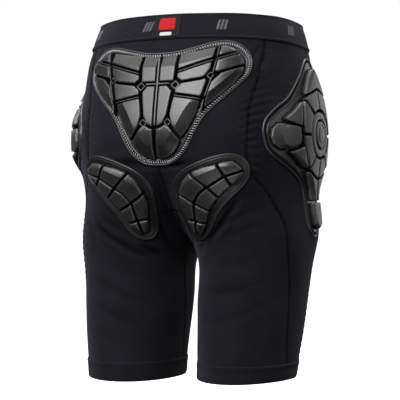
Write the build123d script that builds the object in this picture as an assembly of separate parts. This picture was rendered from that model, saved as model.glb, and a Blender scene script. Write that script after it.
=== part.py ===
from build123d import *
import math
import os

# Padded impact shorts, men's medium. Millimetres, +Z up, front towards -Y, wearer's right at -X.
# Heights in this file are measured up from the leg hems. The finished parts are moved down by
# HEIGHT, so that the origin of the model is the centre of the waist opening.

# ---- driving dimensions ------------------------------------------------------------------
HEIGHT = 500.0            # hem to waist rim, measured at the sides
RIM_TILT = 4.0            # degrees: the rim stands higher at the back than at the front
FABRIC = 1.5              # stretch knit, panels and legs
BAND_HEIGHT = 36.0        # waist elastic
BAND_THICKNESS = 2.0
HEM_HEIGHT = 24.0
HEM_EXTRA = 0.8           # the turned-up hem is this much thicker than one ply
RIGID_TOP = 78.0          # below this height a leg moves as one piece
CROTCH = 182.0            # height where the two legs meet
FLANGE = 2.4              # moulded flange and skin under the pad blocks
TAIL_BLOCK = 7.5          # height of the blocks above the flange skin
SIT_BLOCK = 7.0
HIP_BLOCK = 8.5
CHANNEL = 2.8             # width of the flexing channels between blocks
STUD = 7.0                # small square studs where the channels cross

# One half of the body the shorts are cut for, as superellipse sections:
# height, centre x, half width, centre y, depth to the front, depth to the back, exponent
SECTIONS = [
    (0, 86, 66, 46, 74, 86, 2.0),
    (60, 87, 72, 38, 84, 89, 2.05),
    (120, 88, 77, 29, 92, 93, 2.1),
    (165, 88, 82, 22, 100, 99, 2.1),
    (200, 84, 89, 14, 105, 108, 2.15),
    (250, 57, 111, 5, 112, 134, 2.2),
    (300, 30, 142, 4, 114, 155, 2.3),
    (350, 12, 163, 3, 112, 160, 2.35),
    (400, 3, 166, 5, 108, 147, 2.35),
    (450, 0, 162, 7, 105, 132, 2.3),
    (520, 0, 141, 3, 102, 106, 2.25),
]
SECTION_POINTS = 28
SIDES = {"left": 1, "right": -1}

# Seam between the side panel and the front and back panels: (x, height)
SIDE_SEAM = [
    (151, -5), (154, 58), (157, 113), (158, 182), (155, 216), (145, 243), (133, 271),
    (122, 291), (119, 318), (120, 358), (121, 385), (127, 420), (129, 466), (128, 520),
]
GUSSET_HALF = 21.0
GUSSET_TOP = 236.0
FLY = [(0, 446), (34, 446), (44, 400), (46, 330), (34, 270), (20, 244), (0, 240)]
MIDDLE_Y = 5.0            # front and back panels meet here where no side panel parts them

# Tailbone pad, right half of the outline and of its blocks, as (x, height)
TAIL_OUTLINE = [
    (0, 451), (22, 452), (46, 457), (70, 463), (88, 464), (102, 460), (112, 452), (119, 440),
    (120, 427), (115, 412), (92, 387), (77, 373), (64, 357), (54, 338), (44, 319), (33, 307),
    (19, 299), (0, 297),
]
TAIL_BLOCKS = {
    "tail_centre_blocks": [
        [(0, 443), (26, 446), (26, 424), (25, 407), (0, 407)],
        [(0, 407), (25, 407), (21, 378), (18, 356), (9, 350), (0, 347)],
    ],
    "tail_wing_blocks": [
        [(26, 446), (52, 450), (76, 453), (75, 439), (26, 424)],
        [(26, 424), (75, 439), (72, 417), (61, 413), (25, 407)],
        [(25, 407), (61, 413), (72, 417), (66, 388), (24, 393)],
    ],
    "tail_flank_blocks": [
        [(24, 393), (66, 388), (61, 369), (54, 354), (47, 342), (38, 331), (18, 355), (21, 378)],
    ],
    "tail_ear_blocks": [
        [(76, 453), (86, 454), (98, 450), (103, 446), (75, 438)],
        [(75, 438), (103, 446), (109, 438), (112, 429), (72, 418)],
        [(72, 418), (112, 429), (110, 416), (101, 402), (88, 389), (76, 380), (62, 369), (66, 388)],
    ],
    "tail_tip_blocks": [
        [(0, 347), (9, 350), (18, 355), (38, 331), (35, 324), (28, 316), (18, 309), (5, 306), (0, 306)],
    ],
}
TAIL_STUDS = [(25, 405), (18, 355), (72, 417)]

# Sit-bone pad, left one, as (x, height)
SIT_OUTLINE = [
    (122, 297), (116, 308), (106, 313), (92, 313), (75, 309), (58, 303), (38, 294), (24, 283),
    (15, 270), (14, 255), (17, 235), (21, 217), (27, 203), (36, 196), (48, 196), (60, 205),
    (69, 218), (78, 232), (90, 246), (102, 258), (114, 270), (121, 283),
]
SIT_BLOCKS = [
    [(82, 301), (91, 304), (103, 305), (110, 299), (115, 292), (91, 284)],
    [(91, 284), (115, 292), (114, 284), (110, 278), (99, 270)],
    [(45, 290), (64, 297), (82, 301), (91, 284), (68, 270)],
    [(68, 270), (91, 284), (99, 270), (90, 263), (82, 255)],
    [(26, 264), (34, 280), (45, 290), (68, 270), (57, 263), (47, 250)],
    [(47, 250), (57, 263), (68, 270), (82, 255), (75, 247), (68, 238)],
    [(29, 229), (24, 248), (26, 264), (47, 250), (45, 226)],
    [(45, 226), (47, 250), (68, 238), (64, 229), (61, 220)],
    [(34, 208), (29, 229), (45, 226), (43, 202)],
    [(43, 202), (45, 226), (61, 220), (56, 211), (49, 203)],
]

# Hip pad, rear half, as (distance behind the disc's centre line, height)
HIP_CENTRE_Y = 10.0
HIP_DISC_HEIGHT = 341.0
DISC_R = 18.0
RING_INNER_R = 20.5
RING_OUTER_R = 31.0
HIP_OUTLINE = [
    (0, 447), (12, 440), (30, 426), (49, 408), (68, 390), (85, 379), (97, 369), (106, 358),
    (110, 344), (109, 331), (106, 320), (98, 310), (86, 302), (72, 294), (54, 284), (37, 271),
    (27, 254), (25, 235), (24, 219), (17, 205), (0, 197),
]
HIP_SPOKES = [
    [(0, 404), (26, 396), (44, 388), (33, 379), (18, 366), (0, 366)],
    [(44, 388), (50, 365), (52, 353), (49, 340), (24, 340), (18, 360), (33, 379)],
    [(24, 340), (49, 340), (49, 327), (41, 308), (32, 293), (24, 302), (14, 318)],
    [(0, 318), (12, 318), (24, 302), (32, 293), (15, 284), (0, 279)],
]
HIP_WING = [
    [(46, 388), (66, 373), (84, 361), (80, 355), (54, 349), (50, 365)],
    [(56, 350), (81, 355), (92, 355), (101, 347), (103, 335), (100, 325), (90, 318), (80, 318),
     (57, 324), (50, 330), (51, 344)],
    [(33, 293), (41, 308), (49, 326), (56, 323), (78, 317), (73, 312), (59, 304), (46, 294)],
]
HIP_TOP = [(0, 432), (13, 428), (30, 413), (42, 398), (45, 389), (26, 396), (0, 404)]
HIP_THIGH = [(0, 279), (15, 284), (32, 293), (33, 285), (20, 264), (15, 247), (0, 246)]
HIP_TOE = [(0, 246), (15, 247), (15, 228), (12, 213), (0, 206)]

# Waistband trim
BACK_RIM = HEIGHT + 7.0         # height of the rim over the label
LABEL = (40.0, 34.0, 0.8)       # width, height, thickness
EMBLEM = (24.0, 17.0)           # plain colour block on the label
EMBLEM_DROP = 7.0               # from the rim down to the emblem's top edge
BAR = (17.0, 5.0)               # plain light bar under the emblem
BAR_DROP = 26.5
PRINT_THICKNESS = 0.4
MOTIF_COUNT = 8                 # woven marks spaced evenly round the band
MOTIF_START = 29.0              # along the band, from the centre back towards the left hip
MOTIF_BARS = 3                  # each mark is a row of slanted bars
MOTIF_BAR = (3.0, 13.0)         # width and height of one bar
MOTIF_PITCH = 4.6
MOTIF_SLANT = 4.0
MOTIF_THICKNESS = 0.4

SPAN = 400.0              # reach of the cutting blocks, past the whole model


# ---- shapes shared by the parts ----------------------------------------------------------
def section(row, grow):
    """Closed superellipse face of one half of the body, grown outwards by grow."""
    height, cx, half, cy, front, back, power = row
    points = []
    for i in range(SECTION_POINTS):
        angle = 2 * math.pi * i / SECTION_POINTS
        c, s = math.cos(angle), math.sin(angle)
        depth = back if s > 0 else front
        x = cx + (half + grow) * math.copysign(abs(c) ** (2 / power), c)
        y = cy + (depth + grow) * math.copysign(abs(s) ** (2 / power), s)
        points.append((x, y, height))
    steps = [i / SECTION_POINTS for i in range(SECTION_POINTS + 1)]
    return make_face(Edge.make_spline(points, periodic=True, parameters=steps))


def half_body(grow):
    """Left half of the body, cut flat on the middle plane."""
    whole = loft([section(row, grow) for row in SECTIONS])
    return whole & Pos(SPAN / 2, 0, HEIGHT / 2) * Box(SPAN, 2 * SPAN, 4 * SPAN)


def slab(low, high, tilt=0.0):
    """Everything between two heights, tilted with the rim where tilt is given."""
    block = Box(2 * SPAN, 2 * SPAN, high - low)
    return Pos(0, 0, (low + high) / 2) * Rot(tilt, 0, 0) * block


def area(points, smooth=False):
    """Flat face in the XY plane from a list of corners, or from a smooth closed outline."""
    if smooth:
        return make_face(Spline(*points, periodic=True))
    return make_face(Polyline(*points, close=True))


def half_area(points):
    """Flat face on x >= 0: a smooth edge from the first point to the last, closed at x = 0."""
    edge = Spline(*points, tangents=[(1, 0), (-1, 0)])
    return make_face([*edge.edges(), *Line(edge @ 1, edge @ 0).edges()])


def to_back(face):
    """Prism over a face drawn as (x, height), running backwards through the seat."""
    plane = Plane(origin=(0, 60, 0), x_dir=(1, 0, 0), z_dir=(0, -1, 0))
    return extrude(plane * face, -SPAN / 2)


def to_front(face):
    """Prism over a face drawn as (x, height), running forwards through the belly."""
    plane = Plane(origin=(0, MIDDLE_Y, 0), x_dir=(1, 0, 0), z_dir=(0, -1, 0))
    return extrude(plane * face, SPAN / 2)


def to_side(face):
    """Prism over a face drawn as (distance behind the hip disc, height), running out to the left."""
    plane = Plane(origin=(90, HIP_CENTRE_Y, 0), x_dir=(0, 1, 0), z_dir=(1, 0, 0))
    return extrude(plane * face, SPAN / 2)


def block_face(points, holes=()):
    """One pad block seen flat: its cell less half a channel all round, and less any holes."""
    face = area(points)
    for hole in holes:
        face = face - hole
    return offset(face, -CHANNEL / 2, kind=Kind.INTERSECTION)


def solids_of(shape):
    """The solids of a result, without crumbs."""
    return [s for s in shape.solids() if s.volume > 1.0]


def both_halves(shape):
    """A part that crosses the middle plane, from its left half."""
    left = solids_of(shape)
    right = [mirror(s, Plane.YZ) for s in left]
    return solids_of(left[0].fuse(*left[1:], *right).clean())


def on_side(shape, sign):
    """The left part as it is, or its mirror image on the right."""
    parts = solids_of(shape)
    return parts if sign > 0 else [mirror(s, Plane.YZ) for s in parts]


written = {}


def write(node, solids):
    """Move a sub-part to the model's origin and write it."""
    placed = [Pos(0, 0, -HEIGHT) * s for s in solids]
    shape = placed[0] if len(placed) == 1 else Compound(children=placed)
    export_step(shape, f"parts/{node}.step")
    written[node] = sum(s.volume for s in solids)


# ---- layers ------------------------------------------------------------------------------
os.makedirs("parts", exist_ok=True)
inner = half_body(-FABRIC)
skin = half_body(0)
flange_top = half_body(FLANGE)
knit = skin - inner
trunk = knit & slab(CROTCH, HEIGHT - BAND_HEIGHT / 2) - slab(HEIGHT - BAND_HEIGHT, 2 * HEIGHT, RIM_TILT)
flange_layer = flange_top - skin


def block_layer(thickness):
    return half_body(FLANGE + thickness) - flange_top


# ---- garment -----------------------------------------------------------------------------
def make_waist():
    band_zone = slab(HEIGHT - BAND_HEIGHT, HEIGHT, RIM_TILT)
    band = (half_body(BAND_THICKNESS - FABRIC) - inner) & band_zone
    write("waistband", both_halves(band))


def make_panels():
    beyond_seam = [(x, h) for x, h in SIDE_SEAM] + [(SPAN, 520), (SPAN, -5)]
    plane = Plane(origin=(0, SPAN, 0), x_dir=(1, 0, 0), z_dir=(0, -1, 0))
    side_zone = extrude(plane * area(beyond_seam), 2 * SPAN)
    gusset_zone = slab(0, GUSSET_TOP) & Box(2 * GUSSET_HALF, 2 * SPAN, 4 * SPAN)
    rear_zone = Pos(0, MIDDLE_Y + SPAN, 0) * Box(2 * SPAN, 2 * SPAN, 4 * SPAN)
    centre = trunk - side_zone - gusset_zone
    write("back_panel", both_halves(centre & rear_zone))
    write("front_panel", both_halves(centre - rear_zone))
    write("crotch_gusset", both_halves(trunk & gusset_zone))
    fly = (half_body(FABRIC) - skin) & to_front(half_area(FLY))
    write("fly_panel", both_halves(fly))
    for side, sign in SIDES.items():
        write(f"side_panel_{side}", on_side(trunk & side_zone, sign))
    return side_zone


def make_legs(side_zone):
    thigh = knit & slab(RIGID_TOP, CROTCH)
    leg = knit & slab(HEM_HEIGHT, RIGID_TOP)
    hem = (half_body(HEM_EXTRA) - inner) & slab(0, HEM_HEIGHT)
    leg_middle = 38.0
    rear_zone = Pos(0, leg_middle + SPAN, 0) * Box(2 * SPAN, 2 * SPAN, 4 * SPAN)
    for side, sign in SIDES.items():
        write(f"thigh_{side}", on_side(thigh, sign))
        write(f"leg_side_panel_{side}", on_side(leg & side_zone, sign))
        write(f"leg_rear_panel_{side}", on_side((leg - side_zone) & rear_zone, sign))
        write(f"leg_front_panel_{side}", on_side(leg - side_zone - rear_zone, sign))
        write(f"hem_{side}", on_side(hem, sign))


# ---- pads --------------------------------------------------------------------------------
def make_tailbone_pad():
    layer = block_layer(TAIL_BLOCK)
    write("tail_pad_base", both_halves(flange_layer & to_back(half_area(TAIL_OUTLINE))))
    seats = [Pos(x, h) * Rot(0, 0, 45) * Rectangle(STUD, STUD) for x, h in TAIL_STUDS]
    for node, cells in TAIL_BLOCKS.items():
        blocks = []
        for cell in cells:
            blocks += solids_of(layer & to_back(block_face(cell, seats)))
        mirrored = [mirror(b, Plane.YZ) for b in blocks]
        if node in ("tail_centre_blocks", "tail_tip_blocks"):
            write(node, blocks + mirrored)
        else:
            write(f"{node}_left", blocks)
            write(f"{node}_right", mirrored)
    low_layer = block_layer(TAIL_BLOCK / 2)
    studs = []
    for seat in seats:
        studs += solids_of(low_layer & to_back(offset(seat, -0.6, kind=Kind.INTERSECTION)))
    write("tail_studs", studs + [mirror(s, Plane.YZ) for s in studs])


def make_sit_pads():
    layer = block_layer(SIT_BLOCK)
    base = flange_layer & to_back(area(SIT_OUTLINE, smooth=True))
    blocks = []
    for cell in SIT_BLOCKS:
        blocks += solids_of(layer & to_back(block_face(cell)))
    for side, sign in SIDES.items():
        write(f"sit_pad_base_{side}", on_side(base, sign))
        write(f"sit_pad_blocks_{side}", [s for b in blocks for s in on_side(b, sign)])


def front_and_rear(face):
    """A hip pad face and its mirror image in front of the disc's centre line."""
    return [face, mirror(face, Plane.YZ)]


def make_hip_pads():
    layer = block_layer(HIP_BLOCK)
    half = half_area(HIP_OUTLINE)
    base = flange_layer & to_side(half + mirror(half, Plane.YZ))
    middle = Pos(0, HIP_DISC_HEIGHT)
    ring_seat = middle * Circle(RING_OUTER_R + CHANNEL / 2)
    pieces = {
        "disc": [middle * Circle(DISC_R)],
        "ring": [middle * (Circle(RING_OUTER_R) - Circle(RING_INNER_R))],
        "spokes": [f for cell in HIP_SPOKES for f in front_and_rear(block_face(cell, [ring_seat]))],
        "rear_blocks": [block_face(cell) for cell in HIP_WING],
        "front_blocks": [mirror(block_face(cell), Plane.YZ) for cell in HIP_WING],
        "thigh_blocks": front_and_rear(block_face(HIP_THIGH)),
    }
    for name, half_cell in (("top_block", HIP_TOP), ("toe_block", HIP_TOE)):
        whole = half_cell + [(-x, h) for x, h in reversed(half_cell) if x > 0]
        pieces[name] = [block_face(whole)]
    for side, sign in SIDES.items():
        write(f"hip_pad_base_{side}", on_side(base, sign))
        for name, faces in pieces.items():
            blocks = [s for face in faces for s in on_side(layer & to_side(face), sign)]
            write(f"hip_{name}_{side}", blocks)


# ---- label and woven marks ---------------------------------------------------------------
def band_layer(low, high):
    """Thin layer over the waistband, between two distances from its outer face."""
    face = BAND_THICKNESS - FABRIC
    return half_body(face + high) - half_body(face + low)


def make_label():
    width, height, thickness = LABEL
    patch = Pos(0, BACK_RIM - height / 2 - 1) * RectangleRounded(width, height, 1.5)
    write("waist_label", both_halves(band_layer(0, thickness) & to_back(patch)))
    print_layer = band_layer(thickness, thickness + PRINT_THICKNESS)
    marks = []
    for size, drop, corner in ((EMBLEM, EMBLEM_DROP, 3.0), (BAR, BAR_DROP, 1.0)):
        face = Pos(0, BACK_RIM - drop - size[1] / 2) * RectangleRounded(*size, corner)
        marks += both_halves(print_layer & to_back(face))
    write("waist_label_print", marks)


def band_path(steps=720):
    """Points round the middle of the band from the centre back to the left, with their distances."""
    height, cx, half, cy, front, back, power = SECTIONS[-1]
    low = SECTIONS[-2]
    share = (HEIGHT - BAND_HEIGHT / 2 - low[0]) / (height - low[0])
    half, cy, front, back = (low[i] + share * (SECTIONS[-1][i] - low[i]) for i in (2, 3, 4, 5))
    path, distance = [], 0.0
    for i in range(steps + 1):
        angle = math.pi / 2 - 2 * math.pi * i / steps
        c, s = math.cos(angle), math.sin(angle)
        depth = back if s > 0 else front
        x = half * math.copysign(abs(c) ** (2 / power), c)
        y = cy + depth * math.copysign(abs(s) ** (2 / power), s)
        if path:
            distance += math.hypot(x - path[-1][1], y - path[-1][2])
        path.append((distance, x, y))
    return path


def make_motifs():
    path = band_path()
    left = band_layer(0, MOTIF_THICKNESS)
    layers = {1: left, -1: mirror(left, Plane.YZ)}
    width, height = MOTIF_BAR
    marks = []
    for i in range(MOTIF_COUNT):
        wanted = MOTIF_START + i * path[-1][0] / MOTIF_COUNT
        at = next(k for k, point in enumerate(path) if point[0] >= wanted)
        _, x, y = path[at]
        _, x_next, y_next = path[at + 1]
        middle = HEIGHT - BAND_HEIGHT / 2 + y * math.tan(math.radians(RIM_TILT))
        outwards = (y_next - y, x - x_next, 0)
        face_plane = Plane(origin=(x, y, middle), x_dir=(x - x_next, y - y_next, 0), z_dir=outwards)
        for bar in range(MOTIF_BARS):
            shift = (bar - (MOTIF_BARS - 1) / 2) * MOTIF_PITCH
            corners = [
                (shift - width / 2 - MOTIF_SLANT / 2, -height / 2),
                (shift + width / 2 - MOTIF_SLANT / 2, -height / 2),
                (shift + width / 2 + MOTIF_SLANT / 2, height / 2),
                (shift - width / 2 + MOTIF_SLANT / 2, height / 2),
            ]
            prism = extrude(face_plane * area(corners), 12, both=True)
            marks += [s for s in (layers[1 if x > 0 else -1] & prism).solids() if s.volume > 0.1]
    write("waistband_motifs", marks)


make_waist()
make_label()
make_motifs()
make_legs(make_panels())
make_tailbone_pad()
make_sit_pads()
make_hip_pads()
for node, volume in sorted(written.items()):
    print(f"{node:28s} {volume:10.0f} mm3")
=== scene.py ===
import math

import bmesh
import bpy
import numpy as np
from mathutils import Matrix, Vector
from mathutils.geometry import delaunay_2d_cdt


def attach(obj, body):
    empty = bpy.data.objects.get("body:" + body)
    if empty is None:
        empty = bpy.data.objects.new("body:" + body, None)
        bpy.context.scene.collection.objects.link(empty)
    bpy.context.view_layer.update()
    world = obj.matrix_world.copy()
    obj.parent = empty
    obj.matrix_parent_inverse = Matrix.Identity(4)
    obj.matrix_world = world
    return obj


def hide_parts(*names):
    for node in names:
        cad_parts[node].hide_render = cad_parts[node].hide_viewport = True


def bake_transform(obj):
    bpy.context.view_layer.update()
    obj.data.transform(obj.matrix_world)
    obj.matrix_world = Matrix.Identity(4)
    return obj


# Padded impact shorts. Shapes are worked out in millimetres, with heights measured up from the leg
# hems. to_frame() turns them into the row frame, in metres, with its origin at the centre of the
# waist opening. x is to the wearer's left and y to the back.

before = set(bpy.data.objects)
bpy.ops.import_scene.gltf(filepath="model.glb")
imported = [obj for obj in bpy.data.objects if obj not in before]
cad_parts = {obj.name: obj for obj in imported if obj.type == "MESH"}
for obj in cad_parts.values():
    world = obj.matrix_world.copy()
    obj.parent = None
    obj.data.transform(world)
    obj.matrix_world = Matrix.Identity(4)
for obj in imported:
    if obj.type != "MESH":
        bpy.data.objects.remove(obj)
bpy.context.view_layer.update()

HEIGHT = 500.0
RIM_SLOPE = math.tan(math.radians(4.0))
BAND_HEIGHT = 36.0
HEM_HEIGHT = 24.0
CROTCH = 182.0
CLOTH = 1.2
SIDES = {"left": 1, "right": -1}
VOXEL = 3.4

# One half of the body: height, centre x, half width, centre y, front depth, back depth, exponent
SECTIONS = np.array([
    (0, 84.5, 67.5, 46, 74, 86, 2.0),
    (60, 87, 72, 38, 84, 89, 2.05),
    (120, 88.7, 76.3, 29, 92, 93, 2.05),
    (165, 90.6, 79.4, 22, 100, 98, 2.05),
    (200, 84, 89, 14, 105, 108, 2.15),
    (250, 57, 111, 5, 112, 134, 2.2),
    (300, 30, 142, 4, 114, 155, 2.3),
    (350, 12, 163, 3, 112, 160, 2.35),
    (400, 3, 166, 5, 108, 147, 2.35),
    (450, 0, 162, 7, 105, 132, 2.3),
    (520, 0, 141, 3, 102, 106, 2.25),
], float)
# Side seam: distance from the middle, height
SIDE_SEAM = np.array([
    (151, -5), (154, 58), (157, 113), (158, 182), (155, 216), (145, 243), (133, 271),
    (122, 291), (119, 318), (120, 358), (121, 385), (127, 420), (129, 466), (128, 520),
], float)
GUSSET_HALF = 21.0
GUSSET_TOP = 236.0
LEG_MIDDLE = 38.0
FLY = [(0, 446), (34, 446), (44, 400), (46, 330), (34, 270), (20, 244), (0, 240)]


# ---- small helpers -----------------------------------------------------------------------
def smooth(t):
    """A soft step from 0 to 1."""
    t = np.clip(t, 0, 1)
    return t * t * (3 - 2 * t)


def full_turn(count):
    """Equal angles round a circle."""
    return np.linspace(0, 2 * np.pi, count + 1)[:-1]


def run_along(p):
    """Distance along a line at each of its points."""
    return np.concatenate([[0], np.cumsum(np.linalg.norm(np.diff(p, axis=0), axis=1))])


def lengths(v):
    """Lengths of vectors, as a column that is safe to divide by."""
    return np.maximum(np.linalg.norm(v, axis=1, keepdims=True), 1e-9)


def spline_through(x, y):
    """A natural cubic spline through the rows of y at the knots x, held at its ends."""
    n = len(x)
    h = np.diff(x)
    a = np.zeros((n, n))
    b = np.zeros(y.shape)
    a[0, :2] = 2, 1
    b[0] = 3 * (y[1] - y[0]) / h[0]
    a[-1, -2:] = 1, 2
    b[-1] = 3 * (y[-1] - y[-2]) / h[-1]
    for i in range(1, n - 1):
        a[i, i - 1], a[i, i], a[i, i + 1] = h[i], 2 * (h[i - 1] + h[i]), h[i - 1]
        b[i] = 3 * (h[i] * (y[i] - y[i - 1]) / h[i - 1] + h[i - 1] * (y[i + 1] - y[i]) / h[i])
    slopes = np.linalg.solve(a, b)

    def at(z):
        z = np.clip(np.atleast_1d(np.asarray(z, float)), x[0], x[-1])
        i = np.clip(np.searchsorted(x, z, side="right") - 1, 0, n - 2)
        step = (x[i + 1] - x[i])[:, None]
        t = (z - x[i])[:, None] / step
        return (y[i] * (1 + 2 * t) * (1 - t) ** 2 + y[i + 1] * t * t * (3 - 2 * t)
                + step * (slopes[i] * t * (1 - t) ** 2 - slopes[i + 1] * t * t * (1 - t)))
    return at


# ---- the body the cloth is stretched over ------------------------------------------------
SECTION_SPLINE = spline_through(SECTIONS[:, 0], SECTIONS[:, 1:])
SEAM_SPLINE = spline_through(SIDE_SEAM[:, 1], SIDE_SEAM[:, :1])


def body_at(z):
    """Centre x, half width, centre y, front depth, back depth and exponent of one half at heights z."""
    return SECTION_SPLINE(z).T


def seam_x(z):
    """How far the side seam is from the middle at heights z."""
    return SEAM_SPLINE(z)[:, 0]


def soft_abs(x, z):
    """|x|, rounded off near the middle so that the two halves meet in a soft valley."""
    reach = 2 + 13 * smooth((np.asarray(z, float) - 186) / 74)
    return np.sqrt(np.asarray(x, float) ** 2 + reach ** 2)


def field(p):
    """About the distance outside the body, in mm."""
    cx, a, cy, front, back, n = body_at(p[:, 2])
    u = np.abs(soft_abs(p[:, 0], p[:, 2]) - cx) / a
    depth = np.where(p[:, 1] > cy, back, front)
    v = np.abs(p[:, 1] - cy) / depth
    return ((u ** n + v ** n) ** (1 / n) - 1) * np.minimum(a, depth)


def gradient(p):
    step = 0.6
    return np.stack([(field(p + d) - field(p - d)) / (2 * step) for d in np.eye(3) * step], 1)


def normals_at(p):
    g = gradient(p)
    return g / lengths(g)


def onto_body(p, steps=4):
    """Points drawn onto the body's surface."""
    for _ in range(steps):
        g = gradient(p)
        move = field(p)[:, None] * g / np.maximum((g * g).sum(1, keepdims=True), 0.05)
        p = p - np.clip(move, -6, 6)
    return p


def face_point(x, z, way):
    """Points on the back of the body (way 1) or on its front (way -1)."""
    cx, a, cy, front, back, n = body_at(z)
    u = np.clip(np.abs(soft_abs(x, z) - cx) / a, 0, 0.9995)
    y = cy + way * (back if way > 0 else front) * (1 - u ** n) ** (1 / n)
    return np.stack([np.asarray(x, float), y, np.asarray(z, float)], 1)


def back_point(x, z):
    return face_point(x, z, 1)


def front_point(x, z):
    return face_point(x, z, -1)


def egg(turn, half_width, cy, front, back, n):
    """x and y round a level section of the body, from its +x side towards the back."""
    c, s = np.cos(turn), np.sin(turn)
    return (half_width * np.sign(c) * np.abs(c) ** (2 / n),
            cy + np.where(s > 0, back, front) * np.sign(s) * np.abs(s) ** (2 / n))


def side_point(y, z, way=1):
    """Points on the outer side of the left half (way 1) or on its inner side (way -1)."""
    cx, a, cy, front, back, n = body_at(z)
    y = np.asarray(y, float)
    v = np.clip(np.abs(y - cy) / np.where(y > cy, back, front), 0, 0.9995)
    return np.stack([cx + way * a * (1 - v ** n) ** (1 / n), y, np.asarray(z, float)], 1)


# ---- folds, creases and pulled seams in the cloth ----------------------------------------
# Each crease: line through points (x, y, height), depth, half width, puffed edges, painted shade down in its
# groove
CREASES = [
    ([(80, 152, 309), (56, 158, 303), (28, 159, 301), (-8, 158, 299), (-40, 158, 300), (-66, 156, 303)],
     4.4, 3.8, 1.6, 1.0),
    ([(2, 152, 296), (0, 142, 266), (-4, 118, 232), (-12, 84, 196)], 2.2, 15.0, 0.0, 0.9),
    ([(118, 116, 240), (96, 120, 202), (72, 118, 189), (50, 108, 176), (36, 94, 169)], 3.2, 4.2, 1.6, 1.0),
    ([(54, 114, 192), (38, 102, 181), (24, 84, 172)], 2.0, 3.4, 1.0, 0.9),
    ([(-110, 130, 262), (-98, 130, 243), (-80, 127, 221), (-62, 119, 202), (-44, 104, 187), (-26, 80, 178)],
     3.4, 4.0, 1.8, 1.0),
    ([(-78, 122, 206), (-60, 114, 190), (-42, 98, 177), (-24, 70, 170)], 2.4, 3.6, 1.2, 0.95),
    ([(-112, 118, 452), (-116, 124, 420), (-121, 128, 396)], 2.0, 3.6, 1.0, 0.8),
    ([(-98, 124, 462), (-102, 130, 444)], 1.6, 3.4, 0.8, 0.8),
]
# Each set of ripples: centre, reach along x, y and height, wave direction, wavelength, amplitude
RIPPLES = [
    ((-128, 104, 350), (24, 50, 50), (0.15, 0.1, 1.0), 11.0, 1.6),
    ((-124, 108, 296), (24, 46, 34), (-0.35, 0.0, 1.0), 9.5, 0.95),
    ((128, 104, 345), (26, 50, 60), (-0.15, 0.1, 1.0), 12.0, 0.95),
    ((-118, 118, 438), (26, 40, 34), (1.0, -0.5, 0.15), 11.0, 1.1),
    ((118, 118, 440), (24, 40, 30), (1.0, 0.5, 0.1), 12.0, 0.5),
    ((-95, 125, 222), (46, 40, 34), (0.55, -0.2, 0.8), 15.0, 0.6),
    ((95, 125, 212), (46, 40, 34), (-0.6, -0.2, 0.75), 15.0, 0.55),
    ((-90, 110, 120), (70, 60, 60), (0.25, 0.2, 1.0), 34.0, 0.45),
    ((90, 110, 110), (70, 60, 60), (-0.3, 0.2, 1.0), 31.0, 0.45),
    ((0, -70, 230), (60, 60, 60), (0.0, -0.4, 1.0), 14.0, 0.6),
    ((120, -60, 300), (60, 60, 90), (-0.3, -0.4, 1.0), 24.0, 0.5),
    ((-120, -60, 300), (60, 60, 90), (0.35, -0.4, 1.0), 26.0, 0.5),
]


def line_distance(p, line):
    """Distance from points p to a line through some points, and the distance along it."""
    line = np.asarray(line, float)
    best = np.full(len(p), 1e9)
    along = np.zeros(len(p))
    run = 0.0
    for a, b in zip(line[:-1], line[1:]):
        d = b - a
        length = np.linalg.norm(d)
        t = np.clip((p - a) @ d / (length * length), 0, 1)
        r = np.linalg.norm(p - a - t[:, None] * d, axis=1)
        near = r < best
        best = np.where(near, r, best)
        along = np.where(near, run + t * length, along)
        run += length
    return best, along


def under_pads(p):
    """1 where a stiff pad holds the cloth flat, falling to 0 a little way outside it."""
    x, y, z = p.T
    out = np.zeros(len(p))
    reach = 8.0
    for outline, across, here in (
            (both_ways(TAIL_OUTLINE), x, y > 40), (SIT_OUTLINE, np.abs(x), y > 40),
            (both_ways(HIP_OUTLINE), y - HIP_CENTRE_Y, np.abs(x) > 100)):
        edge = even(outline, 4.0)
        flat = np.stack([across, z], 1)
        boxed = (flat > edge.min(0) - reach).all(1) & (flat < edge.max(0) + reach).all(1)
        near = np.flatnonzero(here & boxed)
        if len(near):
            away = np.where(within(flat[near], edge), 0, edge_distance(flat[near], edge))
            out[near] = np.maximum(out[near], 1 - smooth(away / reach))
    return out


def waves_and_creases(p):
    """How far ripples and creases stand off the body at points p, in mm, and how much shade is painted in
    their troughs and grooves.
    """
    x, y, z = p.T
    out, shade = np.zeros(len(p)), np.zeros(len(p))
    for centre, reach, direction, wave, size in RIPPLES:
        c = (p - np.array(centre)) / np.array(reach)
        inside = np.exp(-(c ** 2).sum(1) * 1.4)
        d = np.array(direction) / np.linalg.norm(direction)
        swing = np.sin(2 * np.pi * (p @ d + 4.0 * np.sin(0.045 * x + 0.03 * y + 0.02 * z)) / wave)
        out += size * inside * swing
        # Painted shade in the ripples' troughs.
        shade += 0.9 * min(size, 1.0) * inside * np.clip(-swing, 0, 1) ** 2
    for line, depth, width, puff, dark in CREASES:
        d, s = line_distance(p, line)
        total = run_along(line)[-1]
        ends = smooth(s / (0.25 * total)) * smooth((total - s) / (0.25 * total))
        groove = ends * np.exp(-(d / width) ** 2)
        out += ends * puff * np.exp(-((d - 2.4 * width) / (1.2 * width)) ** 2) - depth * groove
        # Painted shade down in the crease's groove.
        shade += dark * groove
    return out, np.clip(shade, 0, 1)


def relief(p):
    """How far the cloth stands off the body at points p, in mm."""
    x, y, z = p.T
    out = (
        0.6 * np.sin(0.031 * x + 0.017 * z + 1.0) * np.sin(0.023 * y - 0.029 * z + 0.4)
        + 0.25 * np.sin(0.071 * x - 0.043 * z) * np.sin(0.063 * y + 0.051 * z + 2.0)
    )
    out += waves_and_creases(p)[0]
    seam = np.abs(np.abs(x) - seam_x(z))
    pucker = 0.4 * np.sin(2 * np.pi * z / 8.5 + 0.5 * np.sin(z / 17)) - 0.8
    out += smooth((z - 10) / 20) * np.exp(-(seam / 4.5) ** 2) * pucker
    return out * (1 - under_pads(p)) * smooth(band_line(p) / 14)


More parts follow.
